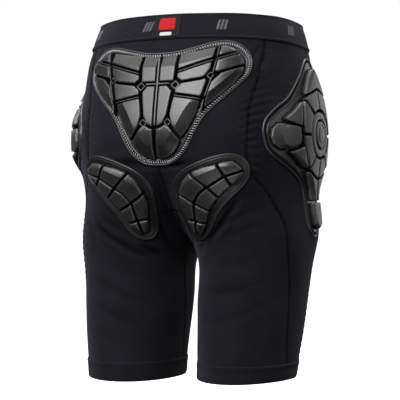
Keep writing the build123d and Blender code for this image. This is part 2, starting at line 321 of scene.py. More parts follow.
def cloth_point(p):
    """Points on the body, moved out to the creased cloth's outer face, with their normals."""
    n = normals_at(p)
    return p + n * relief(p)[:, None], n


# ---- meshes --------------------------------------------------------------------------------
def to_frame(p):
    return (np.asarray(p, float) - (0, 0, HEIGHT)) / 1000


def linked(name, data):
    obj = bpy.data.objects.new(name, data)
    bpy.context.scene.collection.objects.link(obj)
    return obj


def as_object(name, points, faces, material, uv=None, attributes=None, normals=None):
    """A mesh object from points in mm. uv and attributes are one value for each point. Edges between
    two points of the "crease" attribute are sharp."""
    mesh = bpy.data.meshes.new(name)
    mesh.from_pydata(to_frame(points).tolist(), [], faces)
    mesh.materials.append(material)
    mesh.shade_smooth()
    if uv is not None:
        layer = mesh.uv_layers.new(name="cloth")
        corner = np.empty(len(mesh.loops), int)
        mesh.loops.foreach_get("vertex_index", corner)
        layer.data.foreach_set("uv", np.asarray(uv, np.float32)[corner].ravel())
    for key, values in (attributes or {}).items():
        if key == "crease":
            ends = np.empty(len(mesh.edges) * 2, int)
            mesh.edges.foreach_get("vertices", ends)
            sharp = (np.asarray(values) > 0)[ends.reshape(-1, 2)].all(1)
            mesh.attributes.new("sharp_edge", "BOOLEAN", "EDGE").data.foreach_set("value", sharp)
        else:
            made = mesh.attributes.new(key, "FLOAT", "POINT")
            made.data.foreach_set("value", np.asarray(values, np.float32))
    if normals is not None:
        mesh.normals_split_custom_set_from_vertices(normals.tolist())
    return linked(name, mesh)


def joined(parts):
    """(points, faces, uv, attributes) of several shapes as one."""
    keys = sorted({key for part in parts for key in part[3]})
    attributes = {key: np.concatenate([part[3].get(key, np.zeros(len(part[0]))) for part in parts])
                  for key in keys}
    faces, base = [], 0
    for part in parts:
        faces += [[i + base for i in face] for face in part[1]]
        base += len(part[0])
    return np.concatenate([p[0] for p in parts]), faces, np.concatenate([p[2] for p in parts]), attributes


def tube_grid(rings, capped=False, looped=False):
    """Faces between closed rings of the same number of points, given as an array (ring, point, axis).
    The two end rings can be capped, or the last one joined to the first."""
    m, n = rings.shape[:2]
    faces = []
    for i in range(m if looped else m - 1):
        for j in range(n):
            a, b, k = i * n, (i + 1) % m * n, (j + 1) % n
            faces.append([a + j, a + k, b + k, b + j])
    if capped:
        faces.append(list(range(n))[::-1])
        faces.append([(m - 1) * n + j for j in range(n)])
    return faces


def closed_over(rings, inner):
    """Rings of one outline, each inside the one before, filled across the last one with the inner
    points and across the first: (points, faces)."""
    points, triangles = filled(rings[-1], inner)
    m, k = len(rings[0]), len(rings) - 1
    faces = tube_grid(np.array(rings)) + [[i + k * m for i in f] for f in triangles]
    return np.concatenate(rings[:-1] + [points]), faces + [list(range(m))[::-1]]


# ---- the cloth shell, cut into its panels --------------------------------------------------
def rough_shell():
    """Both halves of the body as one even mesh, from overlapping lofts joined by a voxel remesh."""
    turns = full_turn(72)
    points, faces = [], []
    for sign in (1, -1):
        rings = []
        for z in np.linspace(8, 497, 80):
            cx, a, *shape = (v[0] for v in body_at(z))
            x, y = egg(turns, a, *shape)
            rings.append(np.stack([sign * (cx + x), y, np.full_like(x, z)], 1))
        rings = np.array(rings)
        base = len(points)
        faces += [[i + base for i in f[::-sign]] for f in tube_grid(rings, capped=True)]
        points += rings.reshape(-1, 3).tolist()
    mesh = bpy.data.meshes.new("rough")
    mesh.from_pydata(points, [], faces)
    obj = linked("rough", mesh)
    modifier = obj.modifiers.new("remesh", "REMESH")
    modifier.mode = "VOXEL"
    modifier.voxel_size = VOXEL
    bpy.context.view_layer.update()
    result = bpy.data.meshes.new_from_object(obj.evaluated_get(bpy.context.evaluated_depsgraph_get()))
    p = np.empty(len(result.vertices) * 3)
    result.vertices.foreach_get("co", p)
    quads = np.array([tuple(f.vertices) for f in result.polygons])
    bpy.data.objects.remove(obj)
    return p.reshape(-1, 3), quads


EVENING_ROUNDS, EVENING_SHARE = 8, 0.55


def relaxed(p, quads):
    """The shell without its caps, evened out and drawn onto the body."""
    inside = (p[:, 2] > 11) & (p[:, 2] < 494)
    quads = quads[inside[quads].all(1)]
    used = np.unique(quads)
    index = np.full(len(p), -1)
    index[used] = np.arange(len(used))
    p, quads = p[used], index[quads]
    edges = np.concatenate([quads[:, [k, (k + 1) % 4]] for k in range(4)])
    count = np.bincount(edges.ravel(), minlength=len(p)).astype(float)
    p = onto_body(p)
    for _ in range(EVENING_ROUNDS):
        total = np.stack([np.bincount(edges[:, 0], p[edges[:, 1], k], len(p))
                          + np.bincount(edges[:, 1], p[edges[:, 0], k], len(p)) for k in range(3)], 1)
        p = onto_body(p + EVENING_SHARE * (total / count[:, None] - p), 1)
    return onto_body(p, 2), quads


def cut(bm, f, where=None):
    """Splits the faces of bm along f = 0, among the points that satisfy where. Points close to the
    line count as on it."""
    co = np.array([v.co for v in bm.verts])
    value = f(co)
    value[np.abs(value) < 0.25] = 0.0
    zone = np.ones(len(co), bool) if where is None else where(co)
    found = {v: x for v, x, w in zip(bm.verts, value, zone) if w}
    touched = set()
    for e in list(bm.edges):
        a, b = e.verts
        fa, fb = found.get(a), found.get(b)
        if fa is None or fb is None:
            continue
        if fa * fb < 0:
            v = bmesh.utils.edge_split(e, a, fa / (fa - fb))[1]
            found[v] = 0.0
            touched.update(v.link_faces)
        elif fa * fb == 0:
            touched.update(e.link_faces)
    for face in touched:
        if not face.is_valid:
            continue
        here = [found.get(v) for v in face.verts]
        on = [v for v, x in zip(face.verts, here) if x == 0.0]
        signs = {np.sign(x) for x in here if x is not None}
        if len(on) == 2 and {1.0, -1.0} <= signs:
            try:
                bmesh.utils.face_split(face, on[0], on[1])
            except ValueError:
                pass


def crotch_line(p):
    """Above 0 on the trunk, below on the legs. It dips in the middle, under the gusset."""
    return p[:, 2] - CROTCH + 9 * np.exp(-(p[:, 0] / 12) ** 2)


def band_line(p):
    """Above 0 on the cloth under the band's lower edge, and below 0 behind the band."""
    return HEIGHT - BAND_HEIGHT + RIM_SLOPE * p[:, 1] - p[:, 2]


def panel_of(c):
    """Name of the panel that holds each point c."""
    x, y, z = c.T
    outside = np.abs(x) > seam_x(z)
    rear = y > LEG_MIDDLE
    side = np.where(x > 0, "left", "right")
    names = np.full(len(c), "", dtype=object)
    trunk = crotch_line(c) > 0
    gusset = (np.abs(x) < GUSSET_HALF) & (z < GUSSET_TOP)
    names[trunk & (y > 5)] = "back_panel"
    names[trunk & (y <= 5)] = "front_panel"
    names[trunk & gusset] = "crotch_gusset"
    for name in SIDES:
        here = side == name
        names[trunk & outside & here] = f"side_panel_{name}"
        names[~trunk & here & rear] = f"leg_rear_panel_{name}"
        names[~trunk & here & ~rear] = f"leg_front_panel_{name}"
        names[~trunk & here & outside] = f"leg_side_panel_{name}"
    names[(z < HEM_HEIGHT) | (band_line(c) < 0)] = ""
    return names


def cloth_uv(p):
    """Distance round the body and height, in units of 100 mm, for the knit."""
    x, y, z = p.T
    cx, _, cy, *_ = body_at(z)
    leg = 1 - smooth((z - 170) / 80)
    centre = np.sign(x) * cx * leg
    turn = np.arctan2(x - centre, y - cy)
    return np.stack([turn * (150 - 68 * leg), z], 1) / 100


def make_cloth(material):
    """Every cloth panel as a closed thin shell with its outer face creased."""
    p, quads = relaxed(*rough_shell())
    bm = bmesh.new()
    verts = [bm.verts.new(c) for c in p]
    for q in quads:
        bm.faces.new([verts[i] for i in q])
    cut(bm, lambda c: c[:, 2] - HEM_HEIGHT)
    cut(bm, band_line)
    cut(bm, crotch_line)
    cut(bm, lambda c: np.abs(c[:, 0]) - seam_x(c[:, 2]))
    cut(bm, lambda c: np.abs(c[:, 0]) - GUSSET_HALF,
        lambda c: (c[:, 2] < GUSSET_TOP + 5) & (crotch_line(c) > -1))
    cut(bm, lambda c: c[:, 2] - GUSSET_TOP, lambda c: np.abs(c[:, 0]) < GUSSET_HALF + 5)
    cut(bm, lambda c: c[:, 1] - LEG_MIDDLE, lambda c: crotch_line(c) < 1)
    bm.verts.index_update()
    p = np.array([v.co for v in bm.verts])
    faces = [[v.index for v in f.verts] for f in bm.faces]
    bm.free()
    centres = np.array([p[f].mean(0) for f in faces])
    outer, _ = cloth_point(p)
    n = vertex_normals(outer, faces)
    # Painted shade for the cloth's folds, creases and ripple troughs.
    shade = waves_and_creases(p)[1]
    names = panel_of(centres)
    uv = cloth_uv(p)
    panels = {}
    for name in sorted(set(names) - {""}):
        own = [faces[i] for i in np.flatnonzero(names == name)]
        panels[name] = shell(name, outer, n, own, uv, shade, material)
    return panels


def vertex_normals(p, faces):
    """Smooth normals at the points of a mesh, from the corners of its faces."""
    n = np.zeros_like(p)
    for size in sorted({len(f) for f in faces}):
        f = np.array([g for g in faces if len(g) == size])
        for k in range(size):
            a, b, c = p[f[:, k - 1]], p[f[:, k]], p[f[:, (k + 1) % size]]
            cross = np.cross(c - b, a - b)
            for axis in range(3):
                n[:, axis] += np.bincount(f[:, k], cross[:, axis], len(p))
    return n / lengths(n)


def two_sided(faces, count):
    """Faces of a closed sheet: these, the same ones turned over on the next count points, and its rims."""
    seen = {(a, b): True for f in faces for a, b in zip(f, f[1:] + f[:1])}
    rims = [[b, a, a + count, b + count] for a, b in seen if (b, a) not in seen]
    return faces + [[i + count for i in f[::-1]] for f in faces] + rims


def shell(name, p, n, faces, uv, shade, material):
    """A closed sheet with the given faces outside, as thick as the cloth."""
    used = sorted({i for f in faces for i in f})
    index = {v: i for i, v in enumerate(used)}
    faces = two_sided([[index[i] for i in f] for f in faces], len(used))
    p, n, uv, shade = p[used], n[used], uv[used], shade[used]
    # The painted shade goes with the cloth as a point attribute that darkens its colour.
    return as_object(name, np.concatenate([p, p - n * CLOTH]), faces, material, np.concatenate([uv, uv]),
                     {"painted_fold_shade": np.concatenate([shade, shade])}, np.concatenate([n, -n]))


# ---- flat shapes ----------------------------------------------------------------------------
def turned_left(points):
    """The outline counter-clockwise."""
    p = np.asarray(points, float)
    q = np.roll(p, -1, 0)
    return p if (p[:, 0] * q[:, 1] - q[:, 0] * p[:, 1]).sum() > 0 else p[::-1]


def inset(points, upright, level, upper=None, inner=None):
    """A closed outline of straight edges moved inwards, with its corners kept. Its upright edges and its
    level ones have their own distances, and so can those along its top and on its x = 0 side."""
    upper = level if upper is None else upper
    inner = upright if inner is None else inner
    p = turned_left(points)
    step = np.roll(p, -1, 0) - p
    step /= np.linalg.norm(step, axis=1, keepdims=True)
    n = np.stack([-step[:, 1], step[:, 0]], 1)
    d = np.where(np.abs(step[:, 1]) > np.abs(step[:, 0]), np.where(n[:, 0] > 0, inner, upright),
                 np.where(n[:, 1] < 0, upper, level))
    before_n, before_d = np.roll(n, 1, 0), np.roll(d, 1)
    cross = before_n[:, 0] * n[:, 1] - before_n[:, 1] * n[:, 0]
    flat = np.abs(cross) < 0.15
    cross = np.where(flat, 1, cross)
    x = (before_d * n[:, 1] - d * before_n[:, 1]) / cross
    y = (d * before_n[:, 0] - before_d * n[:, 0]) / cross
    middle = (n + before_n) / 2 * ((d + before_d) / 2)[:, None]
    return p + np.where(flat[:, None], middle, np.stack([x, y], 1))


def even(points, step, closed=True):
    """Points at equal steps along a line or outline."""
    p = np.asarray(points, float)
    if closed:
        p = np.concatenate([p, p[:1]])
    run = run_along(p)
    count = max(6, int(round(run[-1] / step)))
    at = np.linspace(0, run[-1], count + 1)
    if closed:
        at = at[:-1]
    return np.stack([np.interp(at, run, p[:, k]) for k in range(p.shape[1])], 1)


def rounded(points, radius, step):
    """A closed outline with its corners rounded, counter-clockwise, at equal steps."""
    p = turned_left(points)
    out = []
    for a, b, c in zip(np.roll(p, 1, 0), p, np.roll(p, -1, 0)):
        la, lc = np.linalg.norm(b - a), np.linalg.norm(c - b)
        da, dc = (b - a) / la, (c - b) / lc
        turn = math.acos(np.clip(da @ dc, -1, 1))
        if turn < 0.12:
            out.append(b)
            continue
        t = min(radius * math.tan(turn / 2), 0.42 * la, 0.42 * lc)
        start, end = b - da * t, b + dc * t
        for k in range(6):
            s = k / 5
            out.append((1 - s) ** 2 * start + 2 * s * (1 - s) * b + s * s * end)
    return even(out, step)


def smooth_outline(points, step):
    """A closed smooth outline through the points."""
    p = np.asarray(points, float)
    out = []
    for a, b, c, d in zip(*(np.roll(p, k, 0) for k in (1, 0, -1, -2))):
        for t in np.linspace(0, 1, 9)[:-1]:
            out.append(0.5 * (2 * b + (c - a) * t + (2 * a - 5 * b + 4 * c - d) * t * t
                              + (3 * b - a - 3 * c + d) * t ** 3))
    return turned_left(even(out, step))


def inward(p):
    """Inward normals of a counter-clockwise outline."""
    along = np.roll(p, -1, 0) - np.roll(p, 1, 0)
    along /= lengths(along)
    return np.stack([-along[:, 1], along[:, 0]], 1)


def edge_distance(p, outline):
    """Distance of points p from a closed outline."""
    a = outline
    d = np.roll(outline, -1, 0) - a
    w = p[:, None] - a[None]
    t = np.clip((w * d).sum(2) / np.maximum((d * d).sum(1), 1e-9), 0, 1)
    return np.sqrt(((w - t[:, :, None] * d) ** 2).sum(2)).min(1)


def moved_in(base, shift):
    """A closed outline moved inwards, with the same number of points and no loops at its corners."""
    p = base + inward(base) * shift
    good = np.flatnonzero(edge_distance(p, base) > shift - 0.08)
    if len(good) in (0, len(p)):
        return p
    at = np.concatenate([good - len(p), good, good + len(p)])
    known = np.tile(p[good], (3, 1))
    return np.stack([np.interp(np.arange(len(p)), at, known[:, k]) for k in range(2)], 1)


def within(p, outline):
    """Which points p are inside a closed outline."""
    a, b = outline, np.roll(outline, -1, 0)
    x, y = p[:, 0:1], p[:, 1:2]
    crosses = (a[:, 1] > y) != (b[:, 1] > y)
    slope = np.where(np.abs(b[:, 1] - a[:, 1]) < 1e-9, 1e-9, b[:, 1] - a[:, 1])
    return ((crosses & (x < (b[:, 0] - a[:, 0]) * (y - a[:, 1]) / slope + a[:, 0])).sum(1) % 2).astype(bool)


def grid_inside(outline, step, margin):
    """A triangular grid of points inside an outline, further from it than a margin."""
    lo, hi = outline.min(0), outline.max(0)
    rows = []
    for i, v in enumerate(np.arange(lo[1], hi[1], step * 0.866)):
        u = np.arange(lo[0] + (i % 2) * step / 2, hi[0], step)
        rows.append(np.stack([u, np.full(len(u), v)], 1))
    p = np.concatenate(rows)
    p = p[within(p, outline)]
    return p[edge_distance(p, outline) > margin] if len(p) else p


def filled(outline, inner):
    """Triangles over an outline, using the inner points too: (points, triangles)."""
    points = np.concatenate([outline, inner]) if len(inner) else outline
    co, _, faces, origin, _, _ = delaunay_2d_cdt(
        [Vector(c) for c in points], [], [list(range(len(outline)))], 1, 1e-5)
    order = np.full(len(co), -1)
    taken = set()
    for i, sources in enumerate(origin):
        fresh = [s for s in sources if s not in taken]
        taken.update(fresh)
        if fresh:
            order[i] = fresh[0]
    added = np.flatnonzero(order < 0)
    if len(added):
        order[added] = len(points) + np.arange(len(added))
        points = np.concatenate([points, [tuple(co[i]) for i in added]])
    return points, [[int(order[i]) for i in f] for f in faces]


# ---- pads ------------------------------------------------------------------------------------
HIP_CENTRE_Y = 10.0
SKIN = 2.0                # moulded skin under the blocks, above the cloth
FOOT = SKIN - 0.9         # where the blocks start, sunk in that skin
UNDERSIDE = -0.9          # of a skin or second ply, just inside the cloth
OUTLINE_STEP = 1.8        # between points of a pad's outline
TAIL_RISE, HIP_RISE, SIT_RISE = 8.0, 8.5, 7.0    # of the blocks above their skin
HIP_CHAMFER = (9.0, 20.0, 0.36)
SIT_CHAMFER = (7.5, 15.5, 0.36)


class Unrolled:
    """The body round a pad laid flat: u is the distance round it at one height, v is the height."""

    def __init__(self, point, height, reach=140.0):
        self.point = point
        self.c = np.linspace(-reach, reach, 561)
        p = point(self.c, np.full_like(self.c, height))
        run = run_along(p)
        self.u = run - np.interp(0, self.c, run)

    def flat(self, points):
        p = np.asarray(points, float)
        return np.stack([np.interp(p[:, 0], self.c, self.u), p[:, 1]], 1)

    def lift(self, uv, height):
        """Points that stand off the body by a height."""
        base = self.point(np.interp(uv[:, 0], self.u, self.c), uv[:, 1])
        return base + normals_at(base) * np.broadcast_to(height, len(base))[:, None]


def side_from_disc(c, z):
    return side_point(c + HIP_CENTRE_Y, z)


TAIL = Unrolled(back_point, 415.0)
SEAT = Unrolled(back_point, 255.0)
HIP = Unrolled(side_from_disc, 341.0, 128.0)
BELLY = Unrolled(front_point, 340.0)


def sheet_over(surface, outline, profile, spacing=2.6, stitched=None, cells=()):
    """A moulded sheet whose height follows a profile of (distance from its edge, height). It has painted
    shade in the channels between the blocks of its cells and between the two stitched distances, and its
    outer bead is lighter, partly for rubbing and partly as a painted highlight."""
    marks = [d for d, _ in profile if d > 0]
    dense = even(outline, 0.9)
    normal = inward(dense)
    rings = []
    for d in marks:
        ring = dense + normal * d
        good = (edge_distance(ring, dense) > d - 0.06) & within(ring, dense)
        rings.append(ring[good][::2])
    grid = grid_inside(outline, spacing, marks[-1] + 0.5 * spacing)
    points, triangles = filled(outline, np.concatenate(rings + [grid]))
    d = edge_distance(points, outline)
    top = np.interp(d, [a for a, _ in profile], [b for _, b in profile])
    both = np.concatenate([surface.lift(points, top), surface.lift(points, UNDERSIDE)])
    # The outer bead is lighter: rubbing, and a painted highlight.
    wear = np.exp(-((d - 1.4) / 0.9) ** 2)
    # Painted shade in the channels between the blocks and in the stitched groove.
    hollow = np.zeros(len(points))
    for cell in cells:
        hollow[within(points, turned_left(cell))] = 1
    if stitched:
        hollow = np.maximum(hollow, smooth((d - stitched[0]) / 0.3) * smooth((stitched[1] - d) / 0.3))
    return (both, two_sided(triangles, len(points)), np.concatenate([points, points]) / 100,
            {"wear": np.concatenate([wear, wear * 0]), "hollow": np.concatenate([hollow, hollow * 0])})


# Edge of a block: distance in from its wall, depth below its top, wear and painted highlight
EDGE = [(0.25, 3.2, 0.0), (0.5, 1.5, 0.3), (0.85, 0.5, 1.0), (1.3, 0.1, 1.0), (1.75, 0.0, 0.5)]


def block(surface, cell, pad, rise, chamfer, radius=2.6, gap=(1.3, 1.3), plateau=None, arc=None):
    """A moulded block over a cell: drafted walls, a rounded lip, and a flat top with a crisp crease,
    beyond which it falls to the pad's edge or, with a plateau, to its own. The chamfer is the distance
    from the pad's edge where the block is lowest, that where it has its full height, and its lowest
    share of that height."""
    start, full, low = chamfer
    if arc is None:
        base = rounded(inset(cell, *gap), radius, 1.25)
    else:
        base = even(moved_in(rounded(outside_circle(cell, *arc), radius + gap[0], 1.0), gap[0]), 1.25)

    def top(p):
        if plateau is None:
            t = np.clip((edge_distance(p, pad) - start) / (full - start), 0, 1)
        else:
            out = np.where(within(p, plateau), 0, edge_distance(p, plateau))
            t = 1 - out / np.maximum(out + edge_distance(p, base), 0.1)
        return SKIN + rise * (low + (1 - low) * t)

    # The block's rounded lip is lighter: rubbing, and a painted highlight.
    rings, heights, worn_and_highlit = [base], [np.full(len(base), FOOT)], [np.zeros(len(base))]
    for shift, less, wear in EDGE:
        p = moved_in(base, shift)
        rings.append(p)
        heights.append(np.maximum(top(p) - less, SKIN + 0.3 * shift))
        worn_and_highlit.append(np.full(len(p), wear))
    last = rings[-1]
    inner = grid_inside(last, 2.6, 1.2)
    if plateau is None:
        dense = even(pad, 2.0)
        crest = dense + inward(dense) * full
        crest = crest[edge_distance(crest, dense) > full - 0.1]
    else:
        crest = even(plateau, 1.6)
    crest = crest[within(crest, last)]
    if len(crest):
        crest = crest[edge_distance(crest, last) > 0.5]
        if len(inner) and len(crest):
            inner = inner[np.sqrt(((inner[:, None] - crest[None]) ** 2).sum(2)).min(1) > 1.3]
    flat, faces = closed_over(rings, np.concatenate([inner, crest]))
    rim = len(base) * (len(rings) - 1)
    high = np.concatenate(heights[:-1] + [top(flat[rim:])])
    wear = np.concatenate(worn_and_highlit + [np.zeros(len(flat) - rim - len(base))])
    crease = np.zeros(len(flat))
    first = rim + len(base) + len(inner)
    crease[first:first + len(crest)] = 1
    return surface.lift(flat, high), faces, flat / 100, {"wear": wear, "crease": crease}


def turned_ring(surface, centre, profile):
    """A round moulding from (radius, height, lightening) rows, from its outer foot to its inner one; the
    lightening stands for rubbing and a painted highlight.
    """
    turns = full_turn(72)
    circle = np.stack([np.cos(turns), np.sin(turns)], 1)
    radius, high, wear = np.repeat(np.array(profile, float).T, len(turns), axis=1)
    flat = np.array(centre) + np.tile(circle, (len(profile), 1)) * radius[:, None]
    solid = profile[-1][0] < 2
    faces = tube_grid(flat.reshape(len(profile), -1, 2), capped=solid, looped=not solid)
    return surface.lift(flat, high), faces, flat / 100, {"wear": wear}


def mirrored(part):
    p, faces, uv, attributes = part
    return p * (-1, 1, 1), [f[::-1] for f in faces], uv, attributes


def on_side(part, sign):
    """A part made for the wearer's left, or its mirror image for the right."""
    return part if sign > 0 else mirrored(part)


def flipped(part):
    """The same part with its faces turned over, where the unrolled sheet is seen from behind."""
    p, faces, uv, attributes = part
    return p, [f[::-1] for f in faces], uv, attributes


def ridge(surface, line, half_width, height):
    """A thin raised rib along a line."""
    line = even(line, 2.0, closed=False)
    along = np.gradient(line, axis=0)
    along /= lengths(along)
    across = np.stack([-along[:, 1], along[:, 0]], 1)
    # The rib's top is lighter: rubbing, and a painted highlight.
    side = [(-1.0, SKIN - 0.5, 0), (-0.95, height - 1.2, 0.4), (-0.75, height - 0.35, 1), (-0.35, height, 1)]
    rows = side + [(-s, h, w) for s, h, w in reversed(side)]
    flat = np.array([[p + a * s * half_width for s, _, _ in rows] for p, a in zip(line, across)])
    faces = tube_grid(flat, capped=True)
    _, high, wear = np.tile(np.array(rows).T, len(line))
    flat = flat.reshape(-1, 2)
    return surface.lift(flat, high), faces, flat / 100, {"wear": wear}


def threads(starts, ends, normals, radius, arch):
    """Short stitches, each a small arched thread from a start to an end."""
    along = ends - starts
    side = np.cross(normals, along / lengths(along))
    turns = full_turn(5)
    rings = []
    for t, high, size in ((0.0, -0.4, 0.55), (0.22, 0.75, 1.0), (0.78, 0.75, 1.0), (1.0, -0.4, 0.55)):
        centre = starts + along * t + normals * (arch * high)
        rings.append(np.stack([centre + radius * size * (math.cos(a) * side + math.sin(a) * normals)
                               for a in turns], 1))
    p = np.stack(rings, 1)
    one = [f[::-1] for f in tube_grid(p[0], capped=True)]
    faces = [[i + s * p[0, ..., 0].size for i in f] for s in range(len(p)) for f in one]
    p = p.reshape(-1, 3)
    return p, faces, p[:, [0, 2]] / 100, {}


def overlock(surface, outline, near, far, step, height, radius, arch=0.5):
    """Slanted stitches side by side, between two distances inside a closed outline."""
    dense = even(outline, step)
    dense = dense[: len(dense) // 2 * 2]
    shift = np.where(np.arange(len(dense)) % 2 == 1, far, near)
    p = surface.lift(dense + inward(dense) * shift[:, None], height)
    return threads(p[::2], p[1::2], normals_at(p)[::2], radius, arch)


def lip_lines(cell, depth, trim, facing):
    """Lines just inside the edges of a cell whose inward side faces a direction, shortened at both ends."""
    p = turned_left(cell)
    lines = []
    for a, b in zip(p, np.roll(p, -1, 0)):
        step = (b - a) / np.linalg.norm(b - a)
        n = np.array([-step[1], step[0]])
        if n @ facing > 0.7 and np.linalg.norm(b - a) > 4 * trim:
            lines.append([a + step * trim + n * depth, b - step * trim + n * depth])
    return lines


def chamfered(points, at, size):
    """An outline with the corner nearest to a point cut off."""
    p = turned_left(points)
    i = int(np.argmin(np.linalg.norm(p - at, axis=1)))
    if np.linalg.norm(p[i] - at) > 3.5:
        return p
    cuts = []
    for other in (p[i - 1], p[(i + 1) % len(p)]):
        length = np.linalg.norm(other - p[i])
        cuts.append(p[i] + (other - p[i]) / length * min(size, 0.45 * length))
    return np.concatenate([p[:i], cuts, p[i + 1:]])


def outside_circle(points, centre, radius):
    """An outline with the part inside a circle pushed out to the circle."""
    p = even(turned_left(points), 1.0)
    away = p - centre
    r = np.linalg.norm(away, axis=1, keepdims=True)
    pushed = np.where(r < radius, centre + away / np.maximum(r, 1e-6) * radius, p)
    pushed = pushed[np.linalg.norm(pushed - np.roll(pushed, 1, 0), axis=1) > 0.25]
    for _ in range(4):
        a, b = pushed - np.roll(pushed, 1, 0), np.roll(pushed, -1, 0) - pushed
        size = np.linalg.norm(a, axis=1) * np.linalg.norm(b, axis=1)
        pushed = pushed[(a * b).sum(1) > -0.3 * size]
    return pushed


# Outlines of the pads and of their blocks, as (x, height) on the tail and sit pads, and as (distance
# behind the disc, height) on the hip pads. Most are one half or one side of a pad.
TAIL_OUTLINE = [
    (0, 452), (22, 453), (46, 458), (70, 464), (88, 465.5), (102, 461), (112, 453), (119, 441),
    (120, 427), (115, 412), (92, 387), (77, 373), (64, 357), (54, 338), (44, 319), (33, 307),
    (19, 299), (0, 297),
]
TAIL_BLOCKS = {
    "tail_centre_blocks": [
        [(1.0, 445.5), (26, 448.5), (26, 422.5), (25, 407.6), (1.0, 407.6)],
        [(1.0, 404.4), (25, 404.4), (21, 378), (18, 355), (9, 349), (1.0, 346)],
    ],
    "tail_wing_blocks": [
        [(26, 448.5), (52, 452.5), (77, 457), (75, 438), (26, 422.5)],
        [(26, 422.5), (75, 438), (71, 415), (60, 410.5), (25, 405.5)],
        [(25, 405.5), (60, 410.5), (71, 415), (63, 384), (24, 391)],
    ],
    "tail_flank_blocks": [
        [(24, 391), (63, 384), (58.5, 366), (52, 352), (45.5, 341), (37, 330.5), (18, 355), (21, 378)],
    ],
    "tail_ear_blocks": [
        [(77, 457), (88, 457.5), (98, 453), (104, 447), (75, 438)],
        [(75, 438), (104, 447), (110, 439), (113, 429), (71, 415)],
        [(71, 415), (113, 429), (111, 416), (101, 402), (88, 389), (75, 378), (60, 366), (63, 384)],
    ],
    "tail_tip_blocks": [
        [(1, 346), (9, 349), (18, 355), (37, 330.5), (34, 322), (28, 314.5), (18, 307.5), (5, 305), (1, 305)],
    ],
}
TAIL_STUDS = [((25, 404), 7.2), ((18, 354), 6.4), ((71, 415), 6.0)]
SIT_OUTLINE = [
    (122, 297), (116, 308), (106, 313), (92, 313), (75, 309), (58, 303), (38, 294), (24, 283),
    (15, 270), (14, 255), (17, 235), (21, 217), (27, 203), (36, 196), (48, 196), (60, 205),
    (69, 218), (78, 232), (90, 246), (102, 258), (114, 270), (121, 283),
]
SIT_BLOCKS = [
    [(82, 301), (91, 304), (103, 305), (110, 299), (115, 292), (91, 284)],
    [(91, 284), (115, 292), (114, 284), (110, 278), (99, 270)],
    [(45, 290), (64, 297), (82, 301), (91, 284), (68, 270)],
    [(68, 270), (91, 284), (99, 270), (90, 263), (82, 255)],
    [(26, 264), (34, 280), (45, 290), (68, 270), (57, 263), (47, 250)],
    [(47, 250), (57, 263), (68, 270), (82, 255), (75, 247), (68, 238)],
    [(29, 229), (24, 248), (26, 264), (47, 250), (45, 226)],
    [(45, 226), (47, 250), (68, 238), (64, 229), (61, 220)],
    [(34, 208), (29, 229), (45, 226), (43, 202)],
    [(43, 202), (45, 226), (61, 220), (56, 211), (49, 203)],
]
HIP_DISC = (0.0, 341.0)
HIP_OUTLINE = [
    (0, 449), (10, 446), (21, 437), (34, 423), (50, 407), (68, 390), (85, 379), (97, 369), (106, 358),
    (110, 344), (109, 331), (106, 320), (98, 310), (86, 302), (72, 294), (54, 284), (37, 271),
    (27, 254), (25, 235), (24, 219), (17, 205), (0, 197),
]
HIP_SPOKES = [
    [(0, 404), (26, 396), (44, 388), (33, 379), (18, 366), (0, 366)],
    [(44, 388), (50, 365), (52, 353), (49, 340), (24, 340), (18, 360), (33, 379)],
    [(24, 340), (49, 340), (49, 327), (41, 308), (32, 293), (24, 302), (14, 318)],
    [(0, 318), (12, 318), (24, 302), (32, 293), (15, 284), (0, 279)],
]
HIP_DOME = [(56, 350), (81, 355), (92, 355), (101, 347), (103, 335), (100, 325), (90, 318), (80, 318),
            (57, 324), (50, 330), (51, 344)]
HIP_WING = [
    [(46, 388), (66, 373), (84, 361), (80, 355), (54, 349), (50, 365)],
    HIP_DOME,
    [(33, 293), (41, 308), (49, 326), (56, 323), (78, 317), (73, 312), (59, 304), (46, 294)],
]
HIP_PLATEAU = [(59, 349), (76, 351), (86, 345), (90, 336), (85, 326), (74, 322), (60, 327)]
HIP_TOP = [(0, 435), (10, 431), (22, 419), (34, 403), (39, 391), (26, 396), (0, 404)]
HIP_THIGH = [(0, 279), (15, 284), (32, 293), (33, 285), (20, 264), (15, 247), (0, 246)]
HIP_TOE = [(0, 246), (15, 247), (15, 228), (12, 213), (0, 206)]
# Skins of the pads: distance from their edge, height
RIM_PROFILE = [(0, -0.3), (0.3, 0.9), (0.8, 1.8), (1.4, 2.1), (2.0, 1.8), (2.5, 0.9), (2.9, 0.5),
               (6.3, 0.6), (6.7, 1.6), (7.3, 2.1), (7.9, 1.8), (8.5, 1.1), (9.3, 1.0)]
SIT_PROFILE = [(0, -0.3), (0.35, 0.9), (1.0, 1.9), (1.8, 2.2), (2.6, 1.9), (3.3, 1.3), (4.3, 1.7),
               (5.2, 2.1), (6.0, 1.7), (6.6, 1.2), (7.4, 1.0)]
TAIL_TILT, TAIL_PIVOT, TAIL_LIFT = math.radians(1.0), 400, 0.8


def tilted(part):
    """The tail pad sits turned a little on the seat, higher on the right, at the same height off the body."""
    p, faces, uv, attributes = part
    stand = field(p)
    c, s = math.cos(TAIL_TILT), math.sin(TAIL_TILT)
    x, z = p[:, 0], p[:, 2] - TAIL_PIVOT
    p = np.stack([c * x + s * z, p[:, 1], TAIL_PIVOT + TAIL_LIFT + c * z - s * x], 1)
    for _ in range(2):
        p = p + normals_at(p) * (stand - field(p))[:, None]
    return p, faces, uv, attributes


def half(cell, way):
    """A cell as it is for way 1, or its mirror image over x = 0 for way -1."""
    return [(x * way, h) for x, h in cell]


def both_ways(points):
    """A whole outline from its half on x >= 0."""
    return list(points) + [(-x, h) for x, h in reversed(points) if x > 0]


